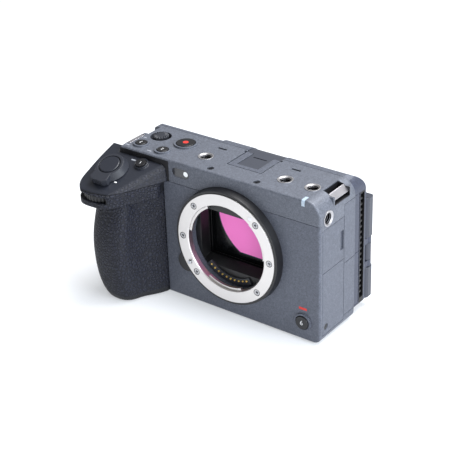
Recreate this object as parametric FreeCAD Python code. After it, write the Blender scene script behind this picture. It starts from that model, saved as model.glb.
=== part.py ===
"""Cinema camera body: every piece at its real size in millimetres, +Z up.

The origin is the mouth of the tripod socket in the base. The lens faces -Y and its
axis lies in the plane x = 0. The grip is at -X, the connector doors are at +X.
"""
import FreeCAD, Part
import math
import os

os.makedirs("parts", exist_ok=True)

V = FreeCAD.Vector

# Casing
setback = 14.0            # tripod socket behind the front face
body_left = -69.8
body_right = 52.5
body_height = 77.1
wall = 1.8
seam = 0.2                # gap between two covers
main_depth = 31.0         # front face to the parting line of the rear cover
left_depth = 33.0         # front face to the control face behind the grip
hump_depth = 41.8         # front face to the back of the fan hump
hump_left = -28.0
hump_floor = 4.0
hump_slope_drop = 8.6     # the hump's top slopes down by this much
side_step = 0.6           # the rear cover's side stands in from the main side
corner_radius = 8.0       # top corner on the connector side
grip_corner_radius = 2.2
foot_radius = 1.6
side_foot_radius = 4.0    # bottom corner on the connector side
front_edge_radius = 1.1
top_seam = body_height - 12.1   # front parting line above the base
side_seam = body_height - 15.1
door_top = body_height - 8.9
door_split_front = 38.8
door_split_rear = 36.0
front_wrap = 4.0          # front cover's return along the base

# Lens mount
lens_height = 39.9
flange_proud = 4.9
throat_radius = 23.05
ring_radius = 29.35
ring_thickness = 3.3
ring_chamfer = 0.45
screw_circle = 26.55
lug_radius = 21.9
lug_thickness = 1.4
lug_depth = 1.2           # lugs behind the flange face
lug_span = 52.0
collar_radius = 31.25
collar_taper = 0.55
collar_drop = 0.5         # collar's lip behind the flange face
lock_pin_angle = -148.0
lock_pin_circle = 26.6
lock_pin_radius = 1.0
lens_button_radius = 5.4
lens_button_circle = 32.0
lens_button_proud = 2.2

# Light box, shutter and image sensor
box_front_width = 40.0
box_front_height = 31.0
gate_width = 37.6
gate_height = 25.6
light_box_depth = 6.9     # its back, behind the front face
shutter_front = 7.1
shutter_thickness = 2.4
blade_height = 8.6
shutter_margin = 12.0     # stowing room above and below the gate
shutter_side = 9.0
glass_width = 40.0
glass_height = 28.0
glass_thickness = 1.3
stage_rim = 3.6
shift_travel = 1.0

# Grip
grip_split = -41.4        # front cover meets the grip here
rubber = 1.5
skin_play = 0.02          # glue line between the skin and its core
grip_wall = 1.6
deck_height = body_height - 3.6   # grip deck at the front face
deck_tilt = 22.0
hood_floor = deck_height - 16.2   # the head's underside at the front face
hood_back = 4.0
hood_fall = 0.08          # its underside falls by this slope towards the front
stem_floor = 0.6
dial_radius = 10.6
dial_thickness = 2.8
dial_height = deck_height - 15.4
dial_x = -65.9
dial_back = -17.2
shutter_x = -65.4
shutter_back = -11.4
deck_button_x = -52.0
deck_button_back = -3.7
deck_button_radius = 2.7

# Battery and its bay
battery_width = 19.0
battery_depth = 31.0
battery_height = body_height - 27.1
battery_left = -70.9
battery_front = -10.2
battery_floor = 2.6
battery_corner = 2.0
bay_play = 0.3
battery_door_thickness = 1.8

# Buttons
button_play = 0.3
button_travel = 0.5
dome_radius = 1.6
small_button_radius = 3.0
record_button_radius = 4.9
collar_wall = 0.9
collar_height = 0.9

# Threads and screws
thread_radius = 2.6       # wall of the threaded hole
insert_radius = 4.0
insert_depth = 7.0
insert_proud = 0.25
insert_chamfer = 0.65
screw_head_radius = 1.75
screw_shank_radius = 0.8
screw_length = 4.0

# Monitor
monitor_front = 42.3      # behind the front face
monitor_thickness = 6.9
monitor_left = -26.0
monitor_right = 52.3
monitor_floor = 4.9
monitor_top = body_height - 15.5
arm_floor = 22.6
arm_top = 39.4
hinge_pin_radius = 0.9
running_fit = 0.05
moving_gap = 0.35

# Fan
fan_x = 4.0
fan_height = 35.0
fan_radius = 17.0
fan_hub_radius = 6.5
fan_blades = 9
fan_pin_radius = 1.2

front = -setback
right_in = body_right - side_step
hump_back = front + hump_depth
split_back = front + main_depth
left_back = front + left_depth
deck_slope = math.tan(math.radians(deck_tilt))
half_seam = seam / 2


def behind(depth):
    """y of a point this far behind the front face."""
    return front + depth


def block(x, y, z):
    """Box between the two x, the two y and the two z values."""
    return Part.makeBox(x[1] - x[0], y[1] - y[0], z[1] - z[0], V(x[0], y[0], z[0]))


def rod(x, y, z, radius, length, axis):
    """Cylinder from a point along an axis."""
    return Part.makeCylinder(radius, length, V(x, y, z), V(*axis))


def tube(x, y, z, inner, outer, length, axis):
    """Hollow cylinder from a point along an axis."""
    return rod(x, y, z, outer, length, axis).cut(rod(x, y, z, inner, length, axis))


def join(shapes):
    """One solid from shapes that touch or overlap."""
    total = shapes[0]
    for shape in shapes[1:]:
        total = total.fuse(shape)
    return total.removeSplitter()


def group(shapes):
    """Separate solids kept in one piece list."""
    return Part.makeCompound(shapes)


def without(shape, tools):
    """The shape with each tool cut away."""
    for tool in tools:
        shape = shape.cut(tool)
    return shape


def put(name, shape):
    """Write one sub-part."""
    shape.exportStep("parts/" + name + ".step")
    size = shape.BoundBox
    print(name, len(shape.Solids), shape.isValid(), "volume %.1f" % shape.Volume,
          "x %.1f %.1f y %.1f %.1f z %.1f %.1f"
          % (size.XMin, size.XMax, size.YMin, size.YMax, size.ZMin, size.ZMax))


def rounded_wire(points, radii, place):
    """Closed outline through the points, each corner rounded by its radius."""
    starts = []
    ends = []
    mids = []
    count = len(points)
    for i in range(count):
        here = V(points[i][0], points[i][1], 0)
        before = V(points[i - 1][0], points[i - 1][1], 0)
        after = V(points[(i + 1) % count][0], points[(i + 1) % count][1], 0)
        a = (before - here).normalize()
        b = (after - here).normalize()
        half = a.getAngle(b) / 2
        reach = radii[i] / math.tan(half)
        centre = here + (a + b).normalize() * (radii[i] / math.sin(half))
        starts.append(here + a * reach)
        ends.append(here + b * reach)
        mids.append(centre + (here - centre).normalize() * radii[i])
    edges = []
    for i in range(count):
        if radii[i] > 0:
            edges.append(Part.Arc(place(starts[i]), place(mids[i]), place(ends[i])).toShape())
        after = (i + 1) % count
        if (starts[after] - ends[i]).Length > 1e-6:
            edges.append(Part.LineSegment(place(ends[i]), place(starts[after])).toShape())
    return Part.Wire(edges)


def rounded_bar(x, z, radii, y):
    """Bar along y whose section is a rectangle with four rounded corners.

    The radii run from the low-x low-z corner to the high-x low-z one and on round.
    """
    points = [(x[0], z[0]), (x[1], z[0]), (x[1], z[1]), (x[0], z[1])]
    wire = rounded_wire(points, radii, lambda p: V(p.x, y[0], p.y))
    return Part.Face(wire).extrude(V(0, y[1] - y[0], 0))


def rounded_plate(x, y, radius, z):
    """Plate whose outline seen from above is a rectangle with rounded corners."""
    points = [(x[0], y[0]), (x[1], y[0]), (x[1], y[1]), (x[0], y[1])]
    wire = rounded_wire(points, [radius] * 4, lambda p: V(p.x, p.y, z[0]))
    return Part.Face(wire).extrude(V(0, 0, z[1] - z[0]))


def prism_x(points, x):
    """Prism along x over a polygon of (y, z) points."""
    corners = [V(x[0], p[0], p[1]) for p in points]
    face = Part.Face(Part.makePolygon(corners + [corners[0]]))
    return face.extrude(V(x[1] - x[0], 0, 0))


def prism_z(points, z):
    """Prism along z over a polygon of (x, y) points."""
    corners = [V(p[0], p[1], z[0]) for p in points]
    face = Part.Face(Part.makePolygon(corners + [corners[0]]))
    return face.extrude(V(0, 0, z[1] - z[0]))


def prism_y(points, y):
    """Prism along y over a polygon of (x, z) points."""
    corners = [V(p[0], y[0], p[1]) for p in points]
    face = Part.Face(Part.makePolygon(corners + [corners[0]]))
    return face.extrude(V(0, y[1] - y[0], 0))


def hump_slope(lowered):
    """Space above the hump's top, which curves down towards the back like a quarter ellipse."""
    top = body_height - lowered
    deep = hump_back - split_back - lowered
    back = split_back + deep
    low = top - hump_slope_drop
    start, middle, end = (V(body_left - 20, split_back, top),
                          V(body_left - 20, split_back + 0.707 * deep, top - 0.293 * hump_slope_drop),
                          V(body_left - 20, back, low))
    corners = [end, V(body_left - 20, back + 10, low), V(body_left - 20, back + 10, top + 20),
               V(body_left - 20, split_back, top + 20), start]
    rim = [Part.Arc(start, middle, end).toShape()]
    for a, b in zip(corners, corners[1:]):
        rim.append(Part.makeLine(a, b))
    return Part.Face(Part.Wire(rim)).extrude(V(body_right - body_left + 40, 0, 0))


# Casing envelope and the space inside it
main_radii = [foot_radius, side_foot_radius, corner_radius, grip_corner_radius]
rear_radii = [foot_radius, foot_radius, corner_radius, grip_corner_radius]


def envelope():
    """Outer form of the camera body without the grip."""
    main = rounded_bar((body_left, body_right), (0, body_height), main_radii, (front, split_back))
    rim = [e for e in main.Edges if e.BoundBox.YMax < front + 0.001]
    main = main.makeFillet(front_edge_radius, rim)
    rear = rounded_bar((body_left, right_in), (hump_floor, body_height), rear_radii,
                       (split_back, hump_back))
    beside = block((body_left - 5, hump_left), (left_back, hump_back + 5), (-5, body_height + 5))
    rear = without(rear, [beside, hump_slope(0)])
    return join([main, rear])


def inside():
    """Space inside the casing walls."""
    inner = max(corner_radius - wall, 0.5)
    radii = [0.8, side_foot_radius - wall, inner, 0.8]
    main = rounded_bar((body_left + wall, body_right - wall), (wall, body_height - wall), radii,
                       (front + wall, split_back + 0.01))
    rear = rounded_bar((body_left + wall, right_in - wall), (hump_floor + wall, body_height - wall),
                       [0.8, 0.8, inner, 0.8], (split_back, hump_back - wall))
    beside = block((body_left - 5, hump_left + wall), (left_back - wall, hump_back + 5),
                   (-5, body_height + 5))
    rear = without(rear, [beside, hump_slope(wall)])
    return main.fuse(rear)


outer_form = envelope()
inner_space = inside()
casing = outer_form.cut(inner_space)

# Zones that divide the casing into covers
far = 200.0
above_seam = block((-far, far), (-far, split_back - half_seam), (top_seam + half_seam, far))
side_tab = block((body_right - wall - 1.5, far), (behind(2.0), behind(21.2)),
                 (side_seam + half_seam, top_seam + 1))
door_notch = block((body_right - 2.6, far), (behind(21.2) + seam, far), (0, door_top + half_seam))
top_zone = above_seam.fuse(side_tab).cut(door_notch)


# Grip forms
hood_points = [(-37.1, 6.0), (-37.4, 0.6), (-42.7, -7.4), (-46.9, -13.3), (-50.9, -19.3),
               (-55.0, -25.0), (-59.6, -27.6), (-65.5, -28.3), (-72.6, -27.5), (-76.7, -23.4),
               (-77.7, -16.5), (-77.6, -6.0), (-76.6, 6.0)]
# The deck's edge and the head's outline between which the shoulder runs: x, behind the face, below the top
deck_edge = [(-39.5, 0.0, 3.6), (-61.8, -23.0, 12.9)]
outline_edge = [(-38.0, 1.0, 12.4), (-55.4, -26.0, 14.8)]
ridge_trim = 0.9


def inset_points(points, amount):
    """The open outline's points moved to its left side by an amount."""
    moved = []
    last = len(points) - 1
    for i, point in enumerate(points):
        before = points[max(i - 1, 0)]
        after = points[min(i + 1, last)]
        along = V(after[0] - before[0], after[1] - before[1], 0).normalize()
        moved.append(V(point[0] + along.y * amount, point[1] - along.x * amount, 0))
    return moved


def spline_form(points, inset, z):
    """Wire at height z: a smooth curve through the points, closed straight behind."""
    moved = [V(p.x, behind(p.y), z) for p in inset_points(points, inset)]
    curve = Part.BSplineCurve()
    curve.interpolate(moved)
    closing = Part.LineSegment(moved[-1], moved[0])
    return Part.Wire([curve.toShape(), closing.toShape()])


def above_plane(point, normal):
    """Space on the outer side of the plane through a point."""
    along = normal.cross(V(0, 0, 1)).normalize() * far
    across = normal.cross(along)
    corners = [point + along + across, point - along + across, point - along - across,
               point + along - across]
    return Part.Face(Part.makePolygon(corners + [corners[0]])).extrude(normal * far)


def shoulder_normal(a, b, c):
    """Direction square to the plane of three points, turned towards the lens."""
    normal = (b - a).cross(c - a).normalize()
    return normal if normal.x > 0 else normal * -1


def deck_cut(inset):
    """Spaces above the tilted grip deck and outside its shoulder."""
    top = deck_height - inset / math.cos(math.radians(deck_tilt))
    reach = 60.0
    deck = prism_x([(front + 10, top + 10 * deck_slope), (front - reach, top - reach * deck_slope),
                    (front - reach, top + 60), (front + 10, top + 60)], (-120, 0))
    root, nose = [V(x, behind(depth), body_height - drop) for x, depth, drop in deck_edge]
    low_root, low_nose = [V(x, behind(depth), body_height - drop) for x, depth, drop in outline_edge]
    wall_normal = shoulder_normal(root, low_root, low_nose)
    slope_normal = shoulder_normal(root, nose, low_nose)
    ridge_normal = (wall_normal + slope_normal).normalize()
    return [deck, above_plane(root - wall_normal * inset, wall_normal),
            above_plane(root - slope_normal * inset, slope_normal),
            above_plane(root - ridge_normal * (inset + ridge_trim), ridge_normal)]


def hood(inset):
    """Overhanging head of the grip, shrunk by an inset."""
    base = hood_floor + inset
    solid = Part.Face(spline_form(hood_points, inset, base - 6)).extrude(V(0, 0, 46))
    for space in deck_cut(inset):
        solid = solid.cut(space)
    below = prism_x([(front + 10, base + 10 * hood_fall), (front - 60, base - 60 * hood_fall),
                     (front - 60, base - 40), (front + 10, base - 40)], (-120, 0))
    solid = solid.cut(below)
    return solid.cut(block((-far, far), (behind(hood_back), far), (-far, far)))


def stem_points(left, nose, groove):
    """Plan outline of the handle at one height."""
    return [(-41.2, 6.0), (-41.2, 0.0), (-45.2 - groove, -8.6), (-49.0 - groove * 0.55, nose + 7.5),
            (-51.2, nose + 2.9), (-53.8, nose + 0.8), (-60.0, nose), (left + 9.0, nose + 1.4),
            (left + 3.3, nose + 6.6),
            (left + 0.5, nose + 14.5), (left, nose + 24.0), (left, 6.0), (left + 0.1, 13.0),
            (left + 0.8, 19.0), (left + 3.1, 22.2), (left + 7.4, 23.4)]


stem_stations = [
    # share of the seam's height, left side, front, depth of the finger groove
    (0.0092, -74.6, -21.9, 0.2),
    (0.123, -76.3, -24.4, 0.5),
    (0.308, -77.4, -25.9, 1.6),
    (0.492, -77.6, -26.0, 2.4),
    (0.677, -76.9, -24.2, 2.8),
    (0.831, -75.9, -21.9, 3.0),
    (0.969, -74.4, -20.4, 3.0),
]


def stem(inset):
    """Handle of the grip, shrunk by an inset."""
    wires = []
    for share, left, nose, groove in stem_stations:
        level = max(share * top_seam, stem_floor + inset)
        wires.append(spline_form(stem_points(left, nose, groove), inset, level))
    return Part.makeLoft(wires, True, False)


def seam_zone(gap):
    """Space below the slanted line where the rubber skin starts."""
    lift = -gap / 2
    slope = 0.09
    return prism_x([(front + 30, top_seam - 0.3 + lift + 30 * slope),
                    (front - 60, top_seam - 0.3 + lift - 60 * slope),
                    (front - 60, -20), (front + 30, -20)], (-120, 0))


hood_out = hood(0)
stem_out = stem(0)
hood_core = hood(rubber)
stem_core = stem(rubber)
grip_form = hood_out.fuse(stem_out)


# Places of the controls on the top
top = body_height
top_inside = body_height - wall
board_top = body_height - 6.1   # board under the top cover that carries the switches
board_thickness = 0.8
dome_height = 0.6
rear_dial_low = board_top + 0.8
insert_places = [(-24.0, 13.3), (24.0, 13.3), (39.7, 13.3)]
side_insert_back = 7.2
side_insert_height = body_height - 10.1
grip_insert_back = 25.4
grip_insert_height = body_height - 20.1
boss_wall = 1.2
left_button = (-60.9, 7.2)
right_button = (-46.4, 6.6)
record_button = (-41.4, 19.2)
stick = (-58.4, 20.0)
stick_hole = 5.6
stick_wall = 0.8
rear_dial_radius = 9.6
rear_dial_thickness = 1.8
rear_dial_gap = 0.3
microphone_x = 22.4
microphone_back = 24.9
case_screw_x = 13.9
case_screw_back = 3.8
front_button = (42.6, 10.1)
front_button_radius = 3.6
front_collar = 0.9

# Accessory shoe
shoe_half = 10.0
shoe_front = 12.7
shoe_back = 29.2
shoe_gap = 0.6
shoe_floor = body_height - 3.9
shoe_plate = 0.7
shoe_lip = 1.3
shoe_throat = 6.3
shoe_sunk = 0.15
shoe_bridge = 2.6
shoe_tail_half = 10.2      # rear block of the shoe's cover
shoe_tail_back = 38.9
shoe_tail_drop = 0.35

# Strap bars
strap_front = 13.4
strap_back = 26.4
strap_left_front = 5.0
strap_left_back = 17.6
strap_inner = 45.2
strap_depth = 6.1
strap_pocket = 3.2
strap_left_depth = 2.3
strap_left_floor = 0.5
strap_bar_width = 4.2
strap_bar_tilt = 45
strap_left_width = 3.0
strap_left_tilt = -10
strap_bar_thickness = 1.2
strap_wall = 1.2


def place_on_lens(radius, angle):
    """x and z of a point on a circle round the lens axis."""
    turn = math.radians(angle)
    return radius * math.cos(turn), lens_height + radius * math.sin(turn)


def top_hole(place, radius):
    """Hole for a button through the top cover and its collar."""
    return rod(place[0], behind(place[1]), top_inside - 2, radius + button_play, 10, (0, 0, 1))


def top_collar(place, radius):
    """Raised collar round a top button."""
    return rod(place[0], behind(place[1]), top_inside, radius + button_play + collar_wall,
               wall + collar_height, (0, 0, 1))


def strap_recess(inner, outer, y, depth):
    """Pocket behind a strap bar; inner and outer are its x limits."""
    return block((min(inner, outer), max(inner, outer)), y, (top - depth, top + 5))


def strap_trough(inner, outer, y, depth, floor):
    """Walls that close the casing behind a strap pocket."""
    x = (inner - strap_wall, outer) if outer > inner else (outer, inner + strap_wall)
    return block(x, (y[0] - strap_wall, y[1] + strap_wall), (top - depth - floor, top_inside))


def strap_bar(x, z, width, tilt, y):
    """Flat bar along y with its ends let into the cover."""
    bar = Part.makeBox(width, y[1] - y[0] + 1.2, strap_bar_thickness,
                       V(-width / 2, y[0] - 0.6, -strap_bar_thickness / 2))
    bar = bar.makeFillet(0.4, [e for e in bar.Edges if e.BoundBox.YLength > 2])
    bar.rotate(V(0, 0, 0), V(0, 1, 0), tilt)
    bar.translate(V(x, 0, z))
    return bar


right_strap_y = (behind(strap_front), behind(strap_back))
left_strap_y = (behind(strap_left_front), behind(strap_left_back))
corner_in = corner_radius * (1 - math.cos(math.radians(45)))
right_bar = strap_bar(body_right - corner_in - 0.6, top - corner_in - 0.6, strap_bar_width, strap_bar_tilt,
                      right_strap_y)
left_bar = strap_bar(body_left + 1.55, top - 1.0, strap_left_width, strap_left_tilt, left_strap_y)


def shoe_pocket():
    """Pocket for the accessory shoe, open to the back so that its cover can slide out."""
    half = shoe_half + shoe_gap
    pocket = block((-half, half), (behind(shoe_front - shoe_gap), behind(hump_depth + 1)),
                   (shoe_floor, top + 5))
    ears = block((-half - 1.0, half + 1.0), (behind(shoe_back - 0.9), behind(shoe_back + 0.3)),
                 (top - 1.2, top + 5))
    return pocket.fuse(ears)


def make_top_cover():
    """Top shell with the seats of the threads, shoe, buttons and strap bars."""
    floor = block((-shoe_half - 1.6, shoe_half + 1.6), (behind(shoe_front - 1.6), split_back - half_seam),
                  (shoe_floor - 1.0, top_inside))
    cup = rod(stick[0], behind(stick[1]), board_top + 0.1, stick_hole + stick_wall,
              top_inside - board_top - 0.1, (0, 0, 1))
    adds = [floor, cup]
    cuts = [shoe_pocket(), rod(stick[0], behind(stick[1]), board_top - 1, stick_hole, 20, (0, 0, 1))]
    for x, depth in insert_places:
        adds.append(rod(x, behind(depth), top + insert_proud - insert_depth - 1.0,
                        insert_radius + boss_wall, wall + insert_depth - 2.0, (0, 0, 1)))
        cuts.append(rod(x, behind(depth), top + insert_proud - insert_depth, insert_radius,
                        insert_depth + 2, (0, 0, 1)))
    adds.append(rod(body_right - 0.8, behind(side_insert_back), side_insert_height,
                    insert_radius + boss_wall - 0.6, insert_depth - 0.8 + 1.0, (-1, 0, 0)))
    cuts.append(rod(body_right + insert_proud, behind(side_insert_back), side_insert_height,
                    insert_radius, insert_depth, (-1, 0, 0)))
    for place, radius in ((left_button, small_button_radius), (right_button, small_button_radius),
                          (record_button, record_button_radius)):
        adds.append(top_collar(place, radius))
        cuts.append(top_hole(place, radius))
    adds.append(strap_trough(strap_inner, body_right - 0.4, right_strap_y, strap_depth, strap_wall))
    adds.append(strap_trough(body_left + strap_pocket, body_left + 0.4, left_strap_y,
                             strap_left_depth, strap_left_floor))
    cuts.append(strap_recess(strap_inner, body_right + 5, right_strap_y, strap_depth))
    cuts.append(strap_recess(body_left + strap_pocket, body_left - 5, left_strap_y, strap_left_depth))
    for side in (-1, 1):
        cuts.append(block((side * microphone_x - 2.75, side * microphone_x + 2.75),
                          (behind(microphone_back - 0.65), behind(microphone_back + 0.65)),
                          (top_inside - 2, top + 2)))
        cuts.append(screw_space(side * case_screw_x, behind(case_screw_back), top - 0.35, (0, 0, -1)))
        adds.append(rod(side * case_screw_x, behind(case_screw_back), top_inside - screw_length,
                        screw_shank_radius + 1.2, screw_length + 0.5, (0, 0, 1)))
    cuts.append(dial_space(stick, rear_dial_radius + rear_dial_gap, rear_dial_low - rear_dial_gap,
                           rear_dial_low + rear_dial_thickness + rear_dial_gap))
    cuts.append(block((body_left - 5, body_left + 3.9), (behind(stick[1] - 1.0), behind(stick[1] + 8.6)),
                      (rear_dial_low - rear_dial_gap, top + 5)))
    cuts.append(window_space())
    cuts.append(tally_space())
    shell = casing.common(top_zone)
    shell = join([shell] + adds)
    for tool in cuts:
        shell = shell.cut(tool)
    shell = shell.cut(right_bar).cut(left_bar)
    shell = shell.cut(shifted_pin(front_hinge, front_upper[1] - 0.5, front_upper[1] + pin_end))
    shell = shell.cut(door_zone())
    shell = shell.cut(rod(0, front - 10, lens_height, ring_radius + half_seam, 10 + wall + 1, (0, 1, 0)))
    return shell.cut(block((deck_button_x - 6, deck_button_x + 6), (front - 1, front + wall + 1),
                           (top_seam - 1, deck_height - 1.3)))


def dial_space(place, radius, low, high):
    """Space that a dial under the top cover turns in, with the stick's cup left standing."""
    return tube(place[0], behind(place[1]), low, stick_hole + stick_wall, radius, high - low, (0, 0, 1))


def screw_space(x, y, z, axis):
    """Head seat and shank hole of a case screw whose head top is at the point."""
    along = V(*axis)
    start = V(x, y, z) - along * 2
    head = Part.makeCylinder(screw_head_radius, 2.9, start, along)
    shank = Part.makeCylinder(screw_shank_radius, screw_length + 0.4, V(x, y, z), along)
    return head.fuse(shank)


def screw(x, y, z, axis, head_radius, head, shank_radius, length):
    """Cross-head screw whose head top is at the point and which runs along the axis."""
    along = V(*axis)
    across = V(0, 0, 1) if abs(along.z) < 0.5 else V(1, 0, 0)
    side = along.cross(across)
    body = Part.makeCylinder(head_radius, head, V(x, y, z), along)
    body = body.fuse(Part.makeCylinder(shank_radius, length, V(x, y, z), along))
    reach = head_radius * 0.62
    slot = head_radius * 0.24
    for a, b in ((across, side), (side, across)):
        corner = V(x, y, z) - a * reach - b * (slot / 2) - along * 0.1
        cut = Part.Face(Part.makePolygon([corner, corner + a * reach * 2,
                                          corner + a * reach * 2 + b * slot, corner + b * slot, corner]))
        body = body.cut(cut.extrude(along * (head * 0.55 + 0.1)))
    return body


# Sensor window on the front and tally lamp on the top front edge
window_left = -35.4
window_right = -25.0
window_height = body_height - 5.7
window_tall = 4.6
window_thickness = 1.3
tally_x = 43.0
tally_width = 2.0
tally_tall = 4.0


def window_form(grow, y):
    """Stadium-shaped plate over the front sensors and lamp."""
    radius = window_tall / 2 + grow
    return rounded_bar((window_left - grow, window_right + grow),
                       (window_height - radius, window_height + radius), [radius * 0.999] * 4, y)


def window_space():
    """Hole for the front window."""
    return window_form(0.1, (front - 1, front + wall + 1))


def tally_space():
    """Notch for the tally lamp over the top front edge."""
    return block((tally_x - tally_width / 2, tally_x + tally_width / 2),
                 (front - 1, front + tally_tall), (top - 3.4, top + 1))


def make_lamp_windows():
    """Clear cover of the front sensors and the tally lamp."""
    window = window_form(0, (front + 0.15, front + 0.15 + window_thickness))
    lamp = outer_form.common(block((tally_x - tally_width / 2 + 0.1, tally_x + tally_width / 2 - 0.1),
                                   (front - 1, front + tally_tall - 0.1), (top - 3.3, top + 1)))
    return group([window, lamp])


# Connector side
door_front_gap = 2.0      # front doors start this far behind the front face
door_middle = 21.2
door_rear = 36.4
door_floor_front = 4.2
door_floor_rear = 6.2
door_thickness = 1.6
door_pin_radius = 0.4
door_gap = 0.3
side_plate = 1.6
groove_width = 2.8
groove_low = 44.6
groove_high = door_top - 13.2
vent_front = 36.9
vent_back = 40.3
vent_floor = 8.0
vent_top = door_top - 1.0
vent_pitch = 3.1
vent_tooth = 1.05
vent_tooth_reach = 2.1
side_screw_back = 5.4
side_screw_height = 8.0

def shifted_pin(place, low, high):
    """Upright hinge pin at a place between two heights."""
    return rod(place[0], place[1], low, door_pin_radius, high - low, (0, 0, 1))


hinge_out = door_thickness / 2
pin_end = 1.1             # hinge pins run this far into the covers
strip_groove = 0.45        # groove in the rear doors where their outside steps in
strip_groove_depth = 0.6
strip_groove_back = 31.0
front_hinge = (body_right - hinge_out, behind(door_front_gap + door_gap / 2 + hinge_out))
rear_hinge = (right_in - hinge_out, behind(door_rear - door_gap / 2 - hinge_out))


def front_door(low, high):
    """Door hinged at its front edge, between two heights."""
    x = (body_right - door_thickness, body_right)
    plate = block(x, (front_hinge[1], behind(door_middle - door_gap / 2)), (low, high))
    plate = plate.fuse(rod(front_hinge[0], front_hinge[1], low, hinge_out, high - low, (0, 0, 1)))
    plate = plate.removeSplitter()
    return plate.cut(rod(front_hinge[0], front_hinge[1], low - 1, door_pin_radius + running_fit,
                         high - low + 2, (0, 0, 1)))


def rear_door(low, high):
    """Door hinged at its rear edge; its outside steps in at the rear cover."""
    inner = right_in - door_thickness
    points = [(inner, behind(door_middle + door_gap / 2)), (body_right, behind(door_middle + door_gap / 2)),
              (body_right, split_back), (right_in, split_back + 0.5), (right_in, rear_hinge[1]),
              (inner, rear_hinge[1])]
    plate = prism_z(points, (low, high))
    plate = plate.cut(block((body_right - strip_groove_depth, far),
                            (behind(strip_groove_back), behind(strip_groove_back + strip_groove)),
                            (-far, far)))
    plate = plate.fuse(rod(rear_hinge[0], rear_hinge[1], low, hinge_out, high - low, (0, 0, 1)))
    plate = plate.removeSplitter()
    return plate.cut(rod(rear_hinge[0], rear_hinge[1], low - 1, door_pin_radius + running_fit,
                         high - low + 2, (0, 0, 1)))


front_upper = (door_split_front + door_gap / 2, side_seam - door_gap / 2)
front_lower = (door_floor_front, door_split_front - door_gap / 2)
rear_upper = (door_split_rear + door_gap / 2, door_top - door_gap / 2)
rear_lower = (door_floor_rear, door_split_rear - door_gap / 2)


def make_port_doors():
    """The four connector doors with the finger grooves that open them."""
    upper = front_door(*front_upper)
    groove = block((body_right - 0.9, body_right + 1),
                   (behind(door_middle - 0.5 - groove_width), behind(door_middle - 0.5)),
                   (groove_low, groove_high))
    put("port_door_front_upper", upper.cut(groove))
    screw_mark = rod(body_right - 0.4, behind(side_screw_back), side_screw_height, screw_head_radius, 1,
                     (1, 0, 0))
    put("port_door_front_lower", front_door(*front_lower).cut(screw_mark))
    put("port_door_rear_upper", rear_door(*rear_upper))
    put("port_door_rear_lower", rear_door(*rear_lower))


def door_zone():
    """Space in the side wall that the four doors take."""
    deep = right_in - door_thickness - door_gap
    ahead = block((deep, far), (behind(door_front_gap), behind(door_middle)),
                  (door_floor_front - door_gap, side_seam))
    back = block((deep, far), (behind(door_middle), behind(door_rear)),
                 (door_floor_rear - door_gap, door_top))
    return ahead.fuse(back)


plate_x = right_in - door_thickness - door_gap - side_plate
jack_places = [
    # depth behind the front face, height, width, tall, of the opening in the jack plate
    (11.0, door_top - 16.2, 7.2, 7.2),
    (11.0, 21.5, 7.2, 7.2),
    (27.4, door_top - 15.2, 6.4, 15.4),
    (27.4, 24.0, 4.0, 9.6),
]
jack_depth = 9.0
jack_play = 0.15


def jack_box(place, grow, x):
    """Rounded block of one connector."""
    depth, height, wide, tall = place
    points = [(behind(depth) - wide / 2 - grow, height - tall / 2 - grow),
              (behind(depth) + wide / 2 + grow, height - tall / 2 - grow),
              (behind(depth) + wide / 2 + grow, height + tall / 2 + grow),
              (behind(depth) - wide / 2 - grow, height + tall / 2 + grow)]
    wire = rounded_wire(points, [1.2] * 4, lambda p: V(x[0], p.x, p.y))
    return Part.Face(wire).extrude(V(x[1] - x[0], 0, 0))


def make_side_cover():
    """Side plate behind the doors, with the connector openings and the bottom rim."""
    plate = block((plate_x, plate_x + side_plate), (behind(door_front_gap + 0.1), behind(door_rear + 0.6)),
                  (door_floor_rear + 0.2, side_seam + 2.6))
    plate = plate.cut(block((0, far), (-far, behind(side_insert_back + insert_radius + boss_wall)),
                            (side_seam - 0.6, far)))
    rim = casing.common(block((body_right - wall - 0.9, far),
                              (behind(door_front_gap), split_back - half_seam),
                              (-1, door_floor_rear - door_gap)))
    rim = rim.cut(door_zone())
    foot = block((plate_x, body_right - wall + 0.1), (behind(door_front_gap + 0.1), split_back - half_seam),
                 (wall + 0.1, door_floor_front - door_gap))
    web = block((plate_x, plate_x + side_plate), (behind(door_front_gap + 0.1), split_back - half_seam),
                (wall + 0.1, door_floor_rear + 0.3))
    shell = join([plate, rim, foot, web])
    front_zone = block((-far, body_right - wall - 0.9), (-far, behind(front_wrap) + seam), (-far, far))
    shell = shell.cut(casing.common(front_zone))
    for place in jack_places:
        shell = shell.cut(jack_box(place, jack_play, (plate_x - 1, plate_x + side_plate + 1)))
    shell = shell.cut(shifted_pin(front_hinge, door_floor_front - pin_end, door_floor_front + 1))
    return shell.cut(shifted_pin(rear_hinge, door_floor_rear - pin_end, door_floor_rear + 1))


def jack_bore(place, x):
    """Opening that a plug goes into."""
    depth, height, wide, tall = place
    if wide == tall:
        return rod(x, behind(depth), height, wide / 2 - 1.6, jack_depth - 1.5, (-1, 0, 0))
    inner = (depth, height, wide - 2.4, tall - 2.4)
    return jack_box(inner, 0.6, (x - jack_depth + 1.5, x + 1))


def make_port_jacks():
    """Connectors behind the doors: two round, two flat."""
    jacks = []
    outside = plate_x + side_plate - 0.1
    for place in jack_places:
        body = jack_box(place, 0, (outside - jack_depth, outside))
        body = body.cut(jack_bore(place, outside))
        depth, height, wide, tall = place
        if wide != tall:
            tongue = block((outside - jack_depth + 1.0, outside - 0.8),
                           (behind(depth) - 0.4, behind(depth) + 0.4),
                           (height - tall / 2 + 2.0, height + tall / 2 - 2.0))
            body = body.fuse(tongue).removeSplitter()
        jacks.append(body)
    return group(jacks)


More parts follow.
